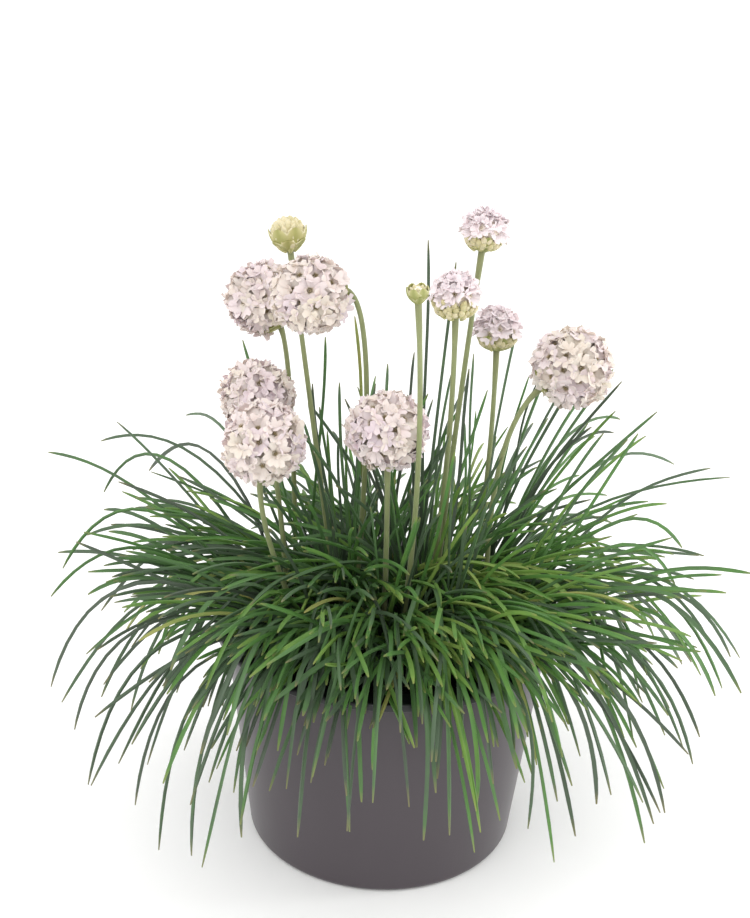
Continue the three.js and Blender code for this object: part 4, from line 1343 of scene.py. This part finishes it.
def add_light(name, kind, place, target, **settings):
    """Adds a light of a kind at a place, aimed at a target, and sets its fields."""
    light = bpy.data.lights.new(name, kind)
    for field, value in settings.items():
        setattr(light, field, value)
    holder = bpy.data.objects.new(name, light)
    holder.location = place
    holder.rotation_euler = (Vector(target) - Vector(place)).to_track_quat("-Z", "Y").to_euler()
    bpy.context.scene.collection.objects.link(holder)


def add_camera():
    """Stands the camera where the photograph was taken from, with its focal length and its slight roll."""
    yaw, pitch, roll = (math.radians(turn) for turn in (CAMERA_YAW, CAMERA_PITCH, CAMERA_ROLL))
    forward = Vector((math.sin(yaw) * math.cos(pitch), math.cos(yaw) * math.cos(pitch), -math.sin(pitch)))
    level = Vector((math.cos(yaw), -math.sin(yaw), 0))
    upright = level.cross(forward)
    right = level * math.cos(roll) + upright * math.sin(roll)
    up = upright * math.cos(roll) - level * math.sin(roll)
    camera = bpy.data.objects.new("camera", bpy.data.cameras.new("camera"))
    camera.data.sensor_fit = "VERTICAL"
    camera.data.sensor_height = SENSOR_HEIGHT
    camera.data.lens = SENSOR_HEIGHT * FOCAL_PIXELS / PICTURE_HEIGHT
    camera.matrix_world = (
        Matrix.Translation(Vector(CAMERA_PLACE) * MM) @ Matrix((right, up, -forward)).transposed().to_4x4())
    bpy.context.scene.collection.objects.link(camera)
    bpy.context.scene.camera = camera


class THRIFT_OT_stage(bpy.types.Operator):
    """Lays the pale floor and sets the soft lights, the white surround and the camera"""

    bl_idname = "thrift.stage"
    bl_label = "Stage"

    def execute(self, context):
        settings = context.scene.thrift_stage
        bm = bmesh.new()
        bmesh.ops.create_grid(bm, x_segments=1, y_segments=1, size=settings.floor_size / 2)
        mesh = bpy.data.meshes.new("floor")
        bm.to_mesh(mesh)
        bm.free()
        mesh.materials.append(matt_board(settings.floor_colour))
        floor = bpy.data.objects.new("floor", mesh)
        context.scene.collection.objects.link(floor)
        world = bpy.data.worlds.new("white_surround")
        world.use_nodes = True
        surround = world.node_tree.nodes["Background"]
        surround.inputs["Color"].default_value = (1, 1, 1, 1)
        surround.inputs["Strength"].default_value = settings.world_strength
        context.scene.world = world
        add_light("top_softbox", "SUN", (-0.3, -0.8, 1.0), (0, 0, 0.1), energy=settings.top_strength,
                  angle=math.radians(60))
        add_light("side_softbox", "AREA", (0.75, 0.05, 0.32), (0, 0, 0.08), energy=settings.side_power,
                  shape="RECTANGLE", size=0.16, size_y=0.6)
        context.scene.view_settings.view_transform = "Standard"
        add_camera()
        return {"FINISHED"}


OPERATORS = (
    THRIFT_OT_stage, THRIFT_OT_cover_pot, THRIFT_OT_grower_pot, THRIFT_OT_soil, THRIFT_OT_leaves,
    THRIFT_OT_stalks, THRIFT_OT_heads)
SETTINGS = {
    "thrift_pot": PotSettings, "thrift_soil": SoilSettings, "thrift_leaves": LeafSettings,
    "thrift_flowers": FlowerSettings, "thrift_stage": StageSettings}


class THRIFT_PT_panel(bpy.types.Panel):
    """Lists the steps that dress the plant, and their settings"""

    bl_idname = "THRIFT_PT_panel"
    bl_label = "Potted sea thrift"
    bl_space_type = "VIEW_3D"
    bl_region_type = "UI"
    bl_category = "Thrift"

    def draw(self, context):
        for operator in OPERATORS:
            self.layout.operator(operator.bl_idname)
        for name, group in SETTINGS.items():
            box = self.layout.box()
            for setting in group.__annotations__:
                box.prop(getattr(context.scene, name), setting)


def register():
    for group in SETTINGS.values():
        bpy.utils.register_class(group)
    for name, group in SETTINGS.items():
        setattr(bpy.types.Scene, name, bpy.props.PointerProperty(type=group))
    for operator in OPERATORS:
        bpy.utils.register_class(operator)
    bpy.utils.register_class(THRIFT_PT_panel)


def unregister():
    bpy.utils.unregister_class(THRIFT_PT_panel)
    for operator in reversed(OPERATORS):
        bpy.utils.unregister_class(operator)
    for name in SETTINGS:
        delattr(bpy.types.Scene, name)
    for group in SETTINGS.values():
        bpy.utils.unregister_class(group)


def main():
    register()
    bpy.ops.thrift.stage()
    bpy.ops.thrift.cover_pot()
    bpy.ops.thrift.grower_pot()
    bpy.ops.thrift.soil()
    bpy.ops.thrift.leaves()
    bpy.ops.thrift.stalks()
    bpy.ops.thrift.heads()
    bare = [name for name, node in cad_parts.items() if not node.hide_render]
    if bare:
        raise RuntimeError(f"no piece stands for {bare}")


if __name__ == "__main__":
    main()
